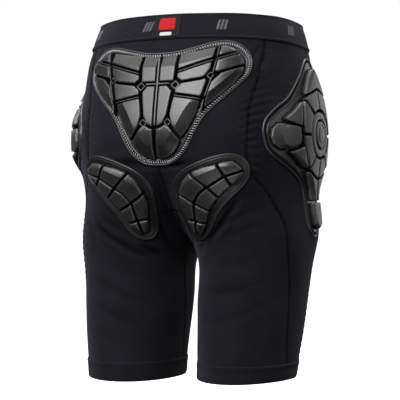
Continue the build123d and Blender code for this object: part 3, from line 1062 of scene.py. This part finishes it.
def piece(name, part, material, body="pelvis"):
    """An object from (points, faces, uv, attributes) that moves with a body."""
    p, faces, uv, attributes = part
    obj = as_object(name, p, faces, material, uv, attributes)
    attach(obj, body)
    return obj


def replacing(obj, node):
    """Puts an object in the place of a CAD node."""
    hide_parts(node)
    return obj


def pad_piece(name, parts, material):
    """A pad's piece in the place of the CAD node of the same name."""
    replacing(piece(name, joined(parts), material), name)


# Blocks with a rib along their lower edge
TAIL_LIPS = {("tail_wing_blocks", 1), ("tail_flank_blocks", 0), ("tail_ear_blocks", 1)}
TAIL_CHAMFERS = {
    "tail_centre_blocks": (9.0, 23.0, 0.3), "tail_wing_blocks": (9.0, 23.0, 0.3),
    "tail_flank_blocks": (9.0, 26.0, 0.28), "tail_ear_blocks": (9.0, 18.0, 0.4),
    "tail_tip_blocks": (9.0, 28.0, 0.28),
}
# Ribs between the centre blocks: line, half width, height
TAIL_CROSS = [([(0, 443.5), (0, 350)], 1.6, 7.6), ([(-17.5, 406), (17.5, 406)], 1.4, 7.4)]
# Rings of a stud: share of its size, height, wear and painted highlight, painted shade
STUD_RINGS = [(1.0, FOOT, 0, 0), (0.98, 5.4, 0.2, 0), (0.9, 6.9, 1, 0), (0.8, 7.3, 1, 0),
              (0.64, 7.1, 1, 0), (0.55, 6.2, 0.5, 0.4), (0.5, 1.6, 0, 1)]


def stud(surface, centre, size):
    """A raised diamond with a sunken middle. Its lip is lighter, for rubbing and as a painted highlight, and
    its middle has painted shade.
    """
    diamond = np.array([(size, 0), (0, size), (-size, 0), (0, -size)])
    ring = rounded(diamond, 1.3, 1.2)
    share, high, wear, hollow = np.repeat(np.array(STUD_RINGS, float).T, len(ring), axis=1)
    flat = centre + np.tile(ring, (len(STUD_RINGS), 1)) * share[:, None]
    faces = tube_grid(flat.reshape(len(STUD_RINGS), -1, 2), capped=True)
    return surface.lift(flat, high), faces, flat / 100, {"wear": wear, "hollow": hollow}


def make_tail_pad(looks):
    outline = TAIL.flat(smooth_outline(both_ways(TAIL_OUTLINE), OUTLINE_STEP))
    cells = [half(cell, way) for group in TAIL_BLOCKS.values() for cell in group for way in (1, -1)]
    cells = [TAIL.flat(cell) for cell in cells + [[(-5, 350), (5, 350), (5, 441), (-5, 441)]]]
    base = sheet_over(TAIL, outline, RIM_PROFILE, stitched=(2.3, 6.7), cells=cells)
    # Less of the rim's rubbing and painted highlight near the pad's low tip.
    tip = 1 - smooth((base[0][:, 2] - 298) / 30)
    base[3]["wear"] *= 1 - 0.8 * tip
    pad_piece("tail_pad_base", [tilted(flipped(base))], looks["pad_base"])
    stitches = overlock(TAIL, outline, near=2.8, far=6.4, step=1.8, height=1.0, radius=0.72, arch=0.4)
    piece("tail_pad_stitches", tilted(stitches), looks["cord"])
    for node, cells in TAIL_BLOCKS.items():
        parts = []
        ear = node == "tail_ear_blocks"
        for i, cell in enumerate(cells):
            lipped = (node, i) in TAIL_LIPS
            shape = turned_left(cell)
            for at, size in TAIL_STUDS:
                shape = chamfered(shape, at, 1.25 * size)
            gaps = (1.7, 1.1, 3.3 if lipped else 1.1, 4.0 if ear else 1.7)
            parts.append(block(TAIL, TAIL.flat(shape), outline, TAIL_RISE, TAIL_CHAMFERS[node],
                               radius=1.8, gap=gaps))
            lines = lip_lines(cell, depth=1.9, trim=2.4, facing=(0, -1)) if lipped else []
            lines += lip_lines(cell, depth=2.6, trim=2.0, facing=(1, 0)) if ear else []
            parts += [ridge(TAIL, TAIL.flat(line), half_width=0.8, height=SKIN + 7.9) for line in lines]
        halves = {"left": [flipped(p) for p in parts]}
        halves["right"] = [mirrored(p) for p in halves["left"]]
        if node in ("tail_centre_blocks", "tail_tip_blocks"):
            halves = {"": halves["left"] + halves["right"]}
        if node == "tail_centre_blocks":
            halves[""] += [flipped(ridge(TAIL, TAIL.flat(line), half_width, SKIN + height))
                           for line, half_width, height in TAIL_CROSS]
        for side, parts in halves.items():
            name = f"{node}_{side}" if side else node
            pad_piece(name, [tilted(p) for p in parts], looks["block"])
    studs = [tilted(flipped(stud(TAIL, TAIL.flat([(x * sign, z)])[0], size)))
             for (x, z), size in TAIL_STUDS for sign in SIDES.values()]
    pad_piece("tail_studs", studs, looks["block"])


def make_sit_pads(looks):
    outline = SEAT.flat(smooth_outline(SIT_OUTLINE, OUTLINE_STEP))
    cells = [SEAT.flat(cell) for cell in SIT_BLOCKS]
    base = flipped(sheet_over(SEAT, outline, SIT_PROFILE, cells=cells))
    blocks = [flipped(block(SEAT, cell, outline, SIT_RISE, SIT_CHAMFER, radius=1.8, gap=(1.2, 1.1)))
              for cell in cells]
    for side, sign in SIDES.items():
        pad_piece(f"sit_pad_base_{side}", [on_side(base, sign)], looks["shaded_seat_skin"])
        pad_piece(f"sit_pad_blocks_{side}", [on_side(b, sign) for b in blocks], looks["seat_block"])


# Rows of (radius, height, wear and painted highlight) from the outer foot to the inner one
HIP_RING = [(31.2, FOOT, 0), (31.0, 7.6, 0), (30.4, 8.7, 0.9), (29.4, 9.3, 0.8), (26.5, 9.7, 0),
            (23.0, 9.5, 0), (21.6, 9.1, 0.8), (20.9, 8.3, 0.8), (20.5, 7.0, 0), (20.3, FOOT, 0)]
HIP_BUTTON = [(18.0, FOOT, 0), (17.8, 8.2, 0), (17.2, 9.3, 0.9), (16.2, 9.9, 0.8), (14.4, 10.2, 0),
              (13.2, 10.1, 0), (12.6, 9.4, 0), (12.0, 9.4, 0), (11.4, 10.1, 0.7), (8.0, 10.6, 0),
              (3.0, 10.8, 0), (0.6, 10.8, 0)]


def make_hip_pads(looks):
    outline = HIP.flat(smooth_outline(both_ways(HIP_OUTLINE), OUTLINE_STEP))
    cells = [HIP.flat(half(cell, way)) for cell in HIP_SPOKES + HIP_WING for way in (1, -1)]
    base = sheet_over(HIP, outline, RIM_PROFILE, stitched=(2.5, 6.5), cells=cells)
    stitches = overlock(HIP, outline, near=2.9, far=6.2, step=1.8, height=0.9, radius=0.6)
    centre = HIP.flat([HIP_DISC])[0]

    def hip_block(cell, chamfer=HIP_CHAMFER, **shape):
        return block(HIP, HIP.flat(cell), outline, HIP_RISE, chamfer, **shape)

    def wing_block(cell, way):
        if cell is not HIP_DOME:
            return hip_block(half(cell, way), radius=2.0)
        crest = turned_left(HIP.flat(half(HIP_PLATEAU, way)))
        return hip_block(half(cell, way), (9.0, 20.0, 0.45), radius=2.0, plateau=crest)

    groups = {
        "disc": [turned_ring(HIP, centre, HIP_BUTTON)],
        "ring": [turned_ring(HIP, centre, HIP_RING)],
        "spokes": [hip_block(half(cell, way), radius=1.8, arc=(centre, 32.6))
                   for cell in HIP_SPOKES for way in (1, -1)],
        "rear_blocks": [wing_block(cell, 1) for cell in HIP_WING],
        "front_blocks": [wing_block(cell, -1) for cell in HIP_WING],
        "top_block": [hip_block(both_ways(HIP_TOP))],
        "thigh_blocks": [hip_block(half(HIP_THIGH, way), radius=2.0) for way in (1, -1)],
        "toe_block": [hip_block(both_ways(HIP_TOE), (8.0, 14.0, 0.4))],
    }
    for side, sign in SIDES.items():
        pad_piece(f"hip_pad_base_{side}", [on_side(base, sign)], looks["pad_base"])
        piece(f"hip_pad_stitches_{side}", on_side(stitches, sign), looks["thread"])
        for name, parts in groups.items():
            pad_piece(f"hip_{name}_{side}", [on_side(part, sign) for part in parts], looks["hip_block"])


# ---- waistband, hems and trim ----------------------------------------------------------------
def band_point(turn, up):
    """Points on the body round the waist: turn from the centre back towards the left, up from the
    band's lower edge."""
    z = low = HEIGHT - BAND_HEIGHT + up + np.zeros_like(turn)
    for _ in range(3):
        cx, a, *shape = body_at(z)
        x, y = egg(np.pi / 2 - turn, cx + a, *shape)
        z = low + RIM_SLOPE * y
    return np.stack([x, y, z], 1)


def band_run():
    """Turns round the band, and the distance along its middle at each."""
    turns = np.linspace(0, 2 * np.pi, 1441)
    return turns, run_along(band_point(turns, BAND_HEIGHT / 2))


def band_wave(turn):
    """How far the elastic waves in and out."""
    return 0.35 * np.sin(5 * turn + 0.6) + 0.25 * np.sin(11 * turn + 2.0)


def ring_round(point, profile, count, wave=np.zeros_like):
    """A closed band round the body, from (up, out) rows that go over its top to the inner foot."""
    turns = full_turn(count)
    rings, uv = [], []
    for up, out in profile:
        p = point(turns, up)
        rings.append(p + normals_at(p) * (out + wave(turns))[:, None])
        uv.append(np.stack([turns * 130, np.full(count, up)], 1) / 100)
    return np.concatenate(rings), tube_grid(np.array(rings), looped=True), np.concatenate(uv), {}


def stitched_round(point, rows, count, step, radius, arch, wave=np.zeros_like):
    """Rings of stitches round the body, one for each (up, out) row. A stitch turns through the step."""
    turns = full_turn(count)
    made = []
    for up, out in rows:
        start, end = point(turns, up), point(turns + step, up)
        n = normals_at(start)
        lift = n * (out + wave(turns))[:, None]
        made.append(threads(start + lift, end + lift, n, radius, arch))
    return joined(made)


def make_waistband(looks):
    outer = [(-1.2, -0.5), (-1.3, 0.55), (-0.6, 1.25), (0.8, 1.45), (2.2, 1.2), (3.0, 0.75)]
    outer += [(u, 0.85 + 0.35 * math.sin(math.pi * (u - 3) / 30)) for u in np.linspace(4.5, 32.5, 9)]
    outer += [(33.3, 0.8), (34.2, 1.1), (35.3, 1.05), (35.9, 0.5)]
    inner = [(36.0, -0.4), (35.4, -1.1), (33.0, -1.4), (24.0, -1.45), (12.0, -1.45), (1.5, -1.4),
             (-0.8, -1.2)]
    band = piece("waistband", ring_round(band_point, outer + inner, 288, band_wave), looks["elastic"])
    replacing(band, "waistband")
    stitches = stitched_round(band_point, ((1.4, 1.5), (34.4, 1.2)), count=300, step=0.0125, radius=0.32,
                              arch=0.3, wave=band_wave)
    stitches = piece("waistband_stitches", stitches, looks["thread"])
    declare_sheet(band, "waistband")


def patch_on_band(centre, outline, insets, heights):
    """A flat patch on the band, from an outline in mm along and up from its centre: rings at some
    insets, each at its own height."""
    turns, run = band_run()
    base = turned_left(outline)
    rings = [moved_in(base, d) for d in insets]
    flat, faces = closed_over(rings, grid_inside(rings[-1], 2.4, 0.9))
    high = np.repeat(heights, len(base))
    high = np.concatenate([high, np.full(len(flat) - len(high), heights[-1])])
    at = np.interp((centre + flat[:, 0]) % run[-1], run, turns)
    p = band_point(at, BAND_HEIGHT / 2 + flat[:, 1])
    return (p + normals_at(p) * (high + band_wave(at))[:, None], [f[::-1] for f in faces], flat / 100, {})


def box_outline(width, height, corner, slant=0.0):
    """A rounded rectangle, or a leaning one, round (0, 0)."""
    w, h = width / 2, height / 2
    p = [(-w - slant / 2, -h), (w - slant / 2, -h), (w + slant / 2, h), (-w + slant / 2, h)]
    return rounded(p, corner, 1.0)


# Width, height and corner radius
LABEL_BOX, PRINT_BOX, LABEL_BAR_BOX, MARK_BOX = (40, 34, 3.2), (24, 17, 3.0), (17, 5, 1.2), (3.7, 14.5, 0.7)
PRINT_UP, LABEL_BAR_UP = 2.0, -12.5
MARKS, BARS_APART = 8, 5.0      # marks round the band, each of three slanted bars
FIRST_MARK = 29


def make_trim(looks):
    label = patch_on_band(0, box_outline(*LABEL_BOX), (0, 0.1, 0.5, 1.5, 1.8, 2.1),
                          (0.6, 1.9, 2.2, 2.25, 1.95, 1.95))
    label = replacing(piece("waist_label", label, looks["label"]), "waist_label")
    declare_sheet(label, "waist_label")
    for name, box, up, look in (("waist_label_print", PRINT_BOX, PRINT_UP, "print"),
                                ("waist_label_bar", LABEL_BAR_BOX, LABEL_BAR_UP, "bar")):
        part = patch_on_band(0, box_outline(*box) + (0, up), (0, 0.1, 0.5), (1.7, 2.3, 2.45))
        replacing(piece(name, part, looks[look]), "waist_label_print")
    bar = box_outline(*MARK_BOX, slant=-4.0)
    spacing = band_run()[1][-1] / MARKS
    bars = [patch_on_band(FIRST_MARK + i * spacing - k * BARS_APART, bar, (0, 0.1, 0.45), (0.7, 1.45, 1.6))
            for i in range(MARKS) for k in (-1, 0, 1)]
    replacing(piece("waistband_motifs", joined(bars), looks["motif"]), "waistband_motifs")


HEM_DROP = {1: 2.0, -1: -1.0}     # the left hem hangs a little lower than the right one


def leg_point(sign):
    """The point function of a leg's opening: turn from its outer side towards the back, up from the hem."""
    def point(turn, up):
        z = np.full_like(turn, up)
        cx, a, *shape = body_at(z)
        x, y = egg(turn, a, *shape)
        drop = HEM_DROP[sign] - 0.7 * np.sin(2 * turn + 1.1)
        return np.stack([sign * (cx + x), y, z - drop * smooth((30 - up) / 30)], 1)
    return point


def make_hems(looks):
    profile = [(24.6, -0.2), (24.4, 0.55), (23.4, 1.15), (21.0, 1.0), (18.5, 0.85), (15.5, 1.05),
               (12.0, 1.15), (8.0, 1.2), (4.0, 1.15), (1.4, 0.95), (0.2, 0.35), (0.0, -0.5), (0.6, -1.3),
               (3.0, -1.6), (12.0, -1.6), (23.5, -1.5)]
    for side, sign in SIDES.items():
        point, leg = leg_point(sign), f"{side}_leg"
        p, faces, uv, _ = ring_round(point, profile, 144)
        hem = piece(f"hem_{side}", (p, [f[::sign] for f in faces], uv, {}), looks["knit"], leg)
        replacing(hem, f"hem_{side}")
        stitches = stitched_round(point, ((21.6, 1.05), (18.4, 1.05)), count=200, step=0.021, radius=0.34,
                                  arch=0.35)
        stitches = piece(f"hem_stitches_{side}", stitches, looks["thread"], leg)
        declare_sheet(hem, "hem")


def seam_strip(line, half_width=2.6, height=0.55):
    """A flat-lock seam along a line on the cloth: a low rounded strip, and stitches across it."""
    line = onto_body(even(line, 2.6, closed=False), 3)
    p, n = cloth_point(line)
    along = np.gradient(p, axis=0)
    across = np.cross(n, along / lengths(along))
    rows = [(-1.0, -0.35), (-0.8, 0.3 * height), (-0.4, 0.85 * height), (0, height), (0.4, 0.85 * height),
            (0.8, 0.3 * height), (1.0, -0.35)]
    rings = np.array([[q + a * s * half_width + m * h for s, h in rows] for q, a, m in zip(p, across, n)])
    strip = rings.reshape(-1, 3)
    run = run_along(p)
    pitch = 1.9
    at = np.arange(1.0, run[-1] - 1.0, pitch)

    def pick(v, where):
        return np.stack([np.interp(where, run, v[:, k]) for k in range(3)], 1)

    reach, up = pick(across, at) * half_width * 0.85, pick(n, at)
    lift = up * height * 0.55
    stitches = threads(pick(p, at) - reach + lift, pick(p, at + pitch / 2) + reach + lift, up,
                       radius=0.24, arch=height * 0.6)
    return (strip, tube_grid(rings, capped=True), strip[:, [0, 2]] / 100, {}), stitches


def seam_object(name, lines, looks, leg=None):
    """Seams and their stitches along some lines, on the pelvis or on the cloth of a leg."""
    strips, stitches = zip(*[seam_strip(line) for line in lines])
    for label, parts, look in ((name, strips, "seam"), (name + "_stitches", stitches, "thread")):
        p, faces, uv, _ = joined(parts)
        obj = as_object(label, p, faces, looks[look], uv)
        if leg:
            bend(obj, leg)
        else:
            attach(obj, "pelvis")


def bend(obj, side):
    """Bakes the object's transform into its mesh."""
    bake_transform(obj)


HEM_SEAM = HEM_HEIGHT - 0.5      # where the leg seams end
BAND_REAR, BAND_FRONT = 471.0, 456.0    # the band's lower edge at the side seams
SEAT_SEAM_TOP = 299


def make_seams(looks):
    faces = {"rear": (back_point, BAND_REAR), "front": (front_point, BAND_FRONT)}
    for side, sign in SIDES.items():
        for name, (point, top) in faces.items():
            upper = np.linspace(CROTCH, top, 120)
            lower = np.linspace(HEM_SEAM, CROTCH, 70)
            seam_object(f"seam_{name}_{side}", [point(sign * seam_x(upper), upper)], looks)
            seam_object(f"leg_seam_{name}_{side}", [point(sign * seam_x(lower), lower)], looks, side)
        z = np.linspace(HEM_SEAM, CROTCH - 10, 60)
        inner = side_point(np.full_like(z, LEG_MIDDLE), z, -1) * (sign, 1, 1)
        seam_object(f"leg_seam_inner_{side}", [inner], looks, side)
    x = np.linspace(-GUSSET_HALF, GUSSET_HALF, 18)
    z = np.linspace(CROTCH + 2, GUSSET_TOP, 24)
    edge = []
    for point, _ in faces.values():
        edge += [point(np.full_like(z, sign * GUSSET_HALF), z) for sign in SIDES.values()]
        edge.append(point(x, np.full_like(x, GUSSET_TOP)))
    z = np.linspace(GUSSET_TOP, SEAT_SEAM_TOP, 30)
    edge.append(back_point(np.zeros_like(z), z))
    seam_object("gusset_seams", edge, looks)


def make_fly(looks):
    outline = BELLY.flat(smooth_outline(both_ways(FLY), 2.4))
    profile = [(0, -0.4), (0.3, 0.5), (0.9, 1.1), (2.0, 1.2), (2.6, 0.95), (3.4, 1.2), (12, 1.3)]
    p, faces, uv, _ = sheet_over(BELLY, outline, profile, spacing=4.0)
    p = p + normals_at(p) * np.minimum(relief(p), 1.2)[:, None] * 0.8
    fly = replacing(piece("fly_panel", (p, faces, uv, {}), looks["knit"]), "fly_panel")
    stitches = overlock(BELLY, outline, near=2.0, far=3.4, step=1.4, height=1.4, radius=0.26)
    stitches = piece("fly_stitches", stitches, looks["thread"])
    declare_sheet(fly, "fly_panel")


# ---- materials -------------------------------------------------------------------------------
class Nodes:
    """Builds the nodes of a material or a world."""

    def __init__(self, tree):
        self.tree = tree

    def add(self, kind, **settings):
        node = self.tree.nodes.new(kind)
        for key, value in settings.items():
            setattr(node, key, value)
        return node

    def link(self, a, b):
        self.tree.links.new(a, b)

    def fill(self, node, **values):
        """Sets inputs of a node by name: a value, or the output of another node."""
        for key, value in values.items():
            socket = node.inputs[key.replace("_", " ")]
            if isinstance(value, bpy.types.NodeSocket):
                self.link(value, socket)
            else:
                socket.default_value = value
        return node.outputs[0]

    def math(self, operation, *values):
        node = self.add("ShaderNodeMath", operation=operation)
        for socket, value in zip(node.inputs, values):
            if isinstance(value, (int, float)):
                socket.default_value = value
            else:
                self.link(value, socket)
        return node.outputs[0]

    def noise(self, scale, detail):
        place = self.add("ShaderNodeTexCoord").outputs["Object"]
        return self.fill(self.add("ShaderNodeTexNoise"), Scale=scale, Detail=detail, Vector=place)

    def ramp(self, factor, stops):
        node = self.add("ShaderNodeValToRGB")
        for element, (at, colour) in zip(node.color_ramp.elements, stops):
            element.position, element.color = at, (*colour, 1)
        self.link(factor, node.inputs[0])
        return node.outputs[0]

    def range(self, factor, low, high):
        return self.fill(self.add("ShaderNodeMapRange"), Value=factor, To_Min=low, To_Max=high)

    def mix(self, factor, below, above):
        """Colour below, with a plain colour over it by a factor."""
        node = self.add("ShaderNodeMix", data_type="RGBA")
        self.link(factor, node.inputs[0])
        self.link(below, node.inputs[6])
        node.inputs[7].default_value = (*above, 1)
        return node.outputs[2]

    def attribute(self, name):
        return self.add("ShaderNodeAttribute", attribute_name=name).outputs["Fac"]

    def bump(self, height, distance, strength, **onto):
        node = self.add("ShaderNodeBump")
        return self.fill(node, Height=height, Distance=distance, Strength=strength, **onto)

    def cloth_waves(self, *periods):
        """Sine waves along and up the cloth's own coordinates, with periods in mm."""
        split = self.add("ShaderNodeSeparateXYZ")
        self.link(self.add("ShaderNodeUVMap", uv_map="cloth").outputs[0], split.inputs[0])
        return [self.math("SINE", self.math("MULTIPLY", split.outputs[axis], 2 * math.pi * 100 / period))
                for axis, period in enumerate(periods)]


def material(name, build, *settings, **more):
    made = bpy.data.materials.new(name)
    made.use_nodes = True
    m = Nodes(made.node_tree)
    m.fill(made.node_tree.nodes["Principled BSDF"], **build(m, *settings, **more))
    return made


# Near-black colour mixed into the cloth as painted shade down in folds, creases and ripple troughs.
PAINTED_FOLD_SHADE = (0.0003, 0.0003, 0.0005)
# Near-black colour mixed into the pads as painted shade down in channels, the stitched groove and the studs'
# middles.
PAINTED_CHANNEL_SHADE = (0.002, 0.002, 0.002)


def cloth(m, dark, light, wale, course, rough=0.86, sheen=0.35, depth=0.00016, gloss=0.5):
    """Knitted or woven cloth with ribs of two periods, with painted shade mixed into its colour down in
    folds, creases and ripple troughs.
    """
    broad, fine = m.noise(28, 4), m.noise(900, 2)
    mixed = m.math("ADD", m.math("MULTIPLY", broad, 0.55), m.math("MULTIPLY", fine, 0.45))
    # Painted shade in folds, creases and ripple troughs darkens the knit's colour.
    colour = m.mix(m.attribute("painted_fold_shade"), m.ramp(mixed, [(0.36, dark), (0.64, light)]), PAINTED_FOLD_SHADE)
    across, up = m.cloth_waves(wale, course)
    ribs = m.math("ADD", m.math("ABSOLUTE", across), m.math("MULTIPLY", up, 0.45))
    return dict(
        Base_Color=colour, Normal=m.bump(fine, 0.00012, 0.5, Normal=m.bump(ribs, depth, 0.7)),
        Roughness=m.range(broad, rough - 0.06, rough + 0.06), Sheen_Weight=sheen, Sheen_Roughness=0.45,
        Sheen_Tint=(0.75, 0.76, 0.9, 1), IOR=1.36, Specular_IOR_Level=gloss)


def rubber(m, dark, light, worn_and_highlit, rough):
    """Moulded rubber: lighter and smoother on rubbed edges, which also carry a painted highlight, and dull
    down in the channels, where painted near-black shade is mixed in.
    """
    broad, fine = m.noise(45, 4), m.noise(1500, 2)
    # Painted near-black shade down in the channels, which are also duller there.
    hollow = m.attribute("hollow")
    # Lighter on rubbed edges: partly rubbing, partly a painted highlight.
    patchy = m.math("MULTIPLY", m.attribute("wear"), m.range(m.noise(160, 3), 0.4, 1.0))
    colour = m.mix(patchy, m.ramp(broad, [(0.35, dark), (0.65, light)]), worn_and_highlit)
    roughness = m.math("MULTIPLY_ADD", patchy, -0.05, m.range(broad, rough - 0.03, rough + 0.04))
    return dict(
        Base_Color=m.mix(hollow, colour, PAINTED_CHANNEL_SHADE), Roughness=m.math("MULTIPLY_ADD", hollow, 0.4, roughness),
        Specular_IOR_Level=m.math("MULTIPLY_ADD", hollow, -0.44, 0.5),
        Normal=m.bump(fine, 0.00005, 0.5, Normal=m.bump(broad, 0.0003, 0.2)), IOR=1.5)


def make_looks():
    """Cloths have a dark and a light colour and the widths of a wale and a course in mm. Rubbers have a dark
    and a light colour, a lighter one for rubbed edges that is partly a painted highlight, and a roughness."""
    looks = {
        "knit": material("compression knit", cloth, (0.0060, 0.0057, 0.0080), (0.0098, 0.0093, 0.0128),
                         1.5, 1.2, sheen=0.07, gloss=0.12),
        "elastic": material("waist elastic", cloth, (0.0034, 0.0034, 0.0056), (0.0054, 0.0054, 0.0084),
                            2.6, 1.9, rough=0.75, sheen=0.08, depth=0.00035, gloss=0.15),
        "seam": material("seam tape", cloth, (0.0012, 0.0012, 0.0018), (0.0026, 0.0026, 0.0038), 1.9, 1.0,
                         sheen=0.02, gloss=0.08),
        "thread": material("sewing thread", cloth, (0.004, 0.004, 0.006), (0.008, 0.008, 0.011), 0.8, 0.6,
                           rough=0.55, sheen=0.05, gloss=0.25),
        "cord": material("rim thread", cloth, (0.36, 0.36, 0.37), (0.50, 0.50, 0.51), 0.8, 0.6,
                         rough=0.4, sheen=0.1),
        "label": material("woven label", cloth, (0.005, 0.005, 0.0055), (0.008, 0.008, 0.0085), 0.7, 0.7,
                          rough=0.6, sheen=0.05, gloss=0.2),
        "print": material("emblem", cloth, (0.34, 0.008, 0.012), (0.42, 0.012, 0.016), 0.8, 0.8,
                          rough=0.7, sheen=0.0, gloss=0.15),
        "bar": material("label bar", cloth, (0.38, 0.38, 0.38), (0.55, 0.55, 0.55), 0.8, 0.8,
                        rough=0.5, sheen=0.1),
        "motif": material("woven marks", cloth, (0.055, 0.057, 0.058), (0.085, 0.088, 0.089), 0.8, 0.9,
                          rough=0.6, sheen=0.1, gloss=0.3),
        "floor": material("studio floor", cloth, (0.86, 0.86, 0.86), (0.9, 0.9, 0.9), 60, 60,
                          rough=0.9, sheen=0.0, depth=0.0),
        "block": material("moulded pad blocks", rubber, (0.0065, 0.0065, 0.0061), (0.0100, 0.0100, 0.0095),
                          (0.045, 0.045, 0.044), 0.27),
        "pad_base": material("moulded pad skin", rubber, (0.0115, 0.0115, 0.0109), (0.017, 0.017, 0.0162),
                             (0.048, 0.048, 0.048), 0.34),
        # Lighter than the other pad blocks: the extra lightness is painted light for the side light that
        # falls on the hips; the olive tint is the rubber's own.
        "hip_block": material("hip pad blocks", rubber, (0.0145, 0.0148, 0.0132), (0.0200, 0.0204, 0.0184),
                              (0.064, 0.064, 0.061), 0.41),
        # A darker copy of the pad skin: painted shade for the seat pads, which face down.
        "shaded_seat_skin": material("seat pad skin", rubber, (0.0048, 0.0048, 0.0048), (0.0075, 0.0075, 0.0074),
                              (0.018, 0.018, 0.018), 0.40),
        "seat_block": material("seat pad blocks", rubber, (0.0150, 0.0144, 0.0134), (0.0215, 0.0207, 0.0195),
                               (0.060, 0.059, 0.057), 0.30),
    }
    glow = looks["floor"].node_tree
    Nodes(glow).fill(glow.nodes["Principled BSDF"], Emission_Color=(1, 1, 1, 1), Emission_Strength=0.9)
    return looks


# ---- studio ----------------------------------------------------------------------------------
CENTRE = Vector((0, 0.010, -0.250))
ROOM_LIGHT = 0.33
FLOOR_REACH, FLOOR_HEIGHT = 14.0, -0.80
LIGHT_DISTANCE = 2.6
CAMERA_AZIMUTH, CAMERA_ELEVATION, CAMERA_ROLL = 202.9, 0.4, -0.4
CAMERA_DISTANCE, CAMERA_LENS, CAMERA_SENSOR, CAMERA_SHIFT = 2.033, 125.8, 36.0, -0.002
DAYLIGHT = (0.985, 0.98, 1.0)
# Name: azimuth and elevation in degrees, width and height in metres, radiance
SOFTBOXES = {
    "key": (182, 34, 1.2, 1.45, 9.6),
    "key middle": (156, 33, 1.15, 1.5, 6.4),
    "key far": (135, 36, 0.9, 1.2, 2.8),
    "overhead": (178, 80, 1.6, 1.0, 2.6),
    "overhead far": (115, 60, 1.6, 1.1, 2.0),
    "brow": (0, 68, 2.4, 0.8, 9.0),
    "side": (272, 20, 1.8, 2.2, 1.1),
    "back": (340, 5, 2.2, 2.0, 1.0),
    "far back": (42, 5, 1.8, 2.0, 0.8),
    "bounce": (208, -36, 2.4, 1.2, 1.35),
}


def direction(azimuth, elevation):
    a, e = math.radians(azimuth), math.radians(elevation)
    return Vector((math.sin(a) * math.cos(e), -math.cos(a) * math.cos(e), math.sin(e)))


def placed(name, data, location, rotation):
    obj = linked(name, data)
    obj.location = location
    obj.rotation_mode = "QUATERNION"
    obj.rotation_quaternion = rotation
    return obj


def make_floor(look):
    """A white floor that is seen and shaded, but sends no light back to the object."""
    mesh = bpy.data.meshes.new("floor")
    corners = [(x * FLOOR_REACH, y * FLOOR_REACH, FLOOR_HEIGHT)
               for x, y in ((-1, -1), (1, -1), (1, 1), (-1, 1))]
    mesh.from_pydata(corners, [], [(0, 1, 2, 3)])
    mesh.uv_layers.new(name="cloth")
    mesh.materials.append(look)
    floor = linked("floor", mesh)
    for ray in ("diffuse", "glossy", "transmission"):
        setattr(floor, f"visible_{ray}", False)


def make_world():
    """White to the camera, and a dim room, darker below, to the object."""
    world = bpy.data.worlds.new("studio")
    world.use_nodes = True
    w = Nodes(world.node_tree)
    backdrop = w.fill(w.tree.nodes["Background"], Color=(1, 1, 1, 1))
    rise = w.add("ShaderNodeSeparateXYZ")
    w.link(w.add("ShaderNodeTexCoord").outputs["Generated"], rise.inputs[0])
    height = w.math("MULTIPLY_ADD", rise.outputs[2], 0.5, 0.5)
    shade = w.ramp(height, [(0.35, (0.25, 0.25, 0.26)), (0.75, (1, 1, 1))])
    room = w.fill(w.add("ShaderNodeBackground"), Color=shade, Strength=ROOM_LIGHT)
    mix = w.add("ShaderNodeMixShader")
    seen = w.add("ShaderNodeLightPath").outputs["Is Camera Ray"]
    for output, socket in zip((seen, room, backdrop), mix.inputs):
        w.link(output, socket)
    w.link(mix.outputs[0], w.tree.nodes["World Output"].inputs[0])
    bpy.context.scene.world = world


def make_studio(looks):
    make_floor(looks["floor"])
    make_world()
    bpy.context.scene.view_settings.view_transform = "Standard"
    for name, (azimuth, elevation, width, height, radiance) in SOFTBOXES.items():
        light = bpy.data.lights.new(name, "AREA")
        light.shape = "RECTANGLE"
        light.size, light.size_y = width, height
        light.energy = radiance * math.pi * width * height
        light.color = DAYLIGHT
        out = direction(azimuth, elevation)
        placed(name, light, CENTRE + out * LIGHT_DISTANCE, out.to_track_quat("Z", "Y"))
    camera = bpy.data.cameras.new("camera")
    camera.lens, camera.sensor_width = CAMERA_LENS, CAMERA_SENSOR
    camera.shift_x = CAMERA_SHIFT
    camera.clip_start, camera.clip_end = 0.05, 60
    back = direction(CAMERA_AZIMUTH, CAMERA_ELEVATION)
    roll = Matrix.Rotation(math.radians(CAMERA_ROLL), 3, "Z").to_quaternion()
    bpy.context.scene.camera = placed("camera", camera, CENTRE + back * CAMERA_DISTANCE,
                                      (-back).to_track_quat("-Z", "Y") @ roll)


# ---- everything ------------------------------------------------------------------------------
# Each cloth piece as it was cut, before it was stretched on: width, length and area in metres
CUT = {
    "back_panel": (0.300, 0.285, 0.0735), "front_panel": (0.290, 0.270, 0.067),
    "side_panel": (0.240, 0.275, 0.0516), "crotch_gusset": (0.040, 0.260, None),
    "leg_front_panel": (0.220, 0.155, 0.032), "leg_rear_panel": (0.205, 0.155, 0.030),
    "leg_side_panel": (0.105, 0.155, 0.0115), "fly_panel": (0.092, 0.200, 0.0155),
    "hem": (0.430, 0.025, None), "waistband": (0.800, 0.037, None), "waist_label": (0.040, 0.034, None),
}


def declare_sheet(obj, name):
    width, length, area = CUT[name]


def make_all():
    looks = make_looks()
    make_studio(looks)
    for name, obj in make_cloth(looks["knit"]).items():
        if name.startswith("leg"):
            part, side = name.rsplit("_", 1)
            stretch_tube = [f"thigh_{side}"] if "rear" in part else []
            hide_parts(name, *stretch_tube)
            bend(obj, side)
            declare_sheet(obj, part)
        else:
            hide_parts(name)
            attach(obj, "pelvis")
            declare_sheet(obj, "side_panel" if name.startswith("side") else name)
    make_waistband(looks)
    make_trim(looks)
    make_hems(looks)
    make_seams(looks)
    make_fly(looks)
    make_tail_pad(looks)
    make_sit_pads(looks)
    make_hip_pads(looks)


make_all()
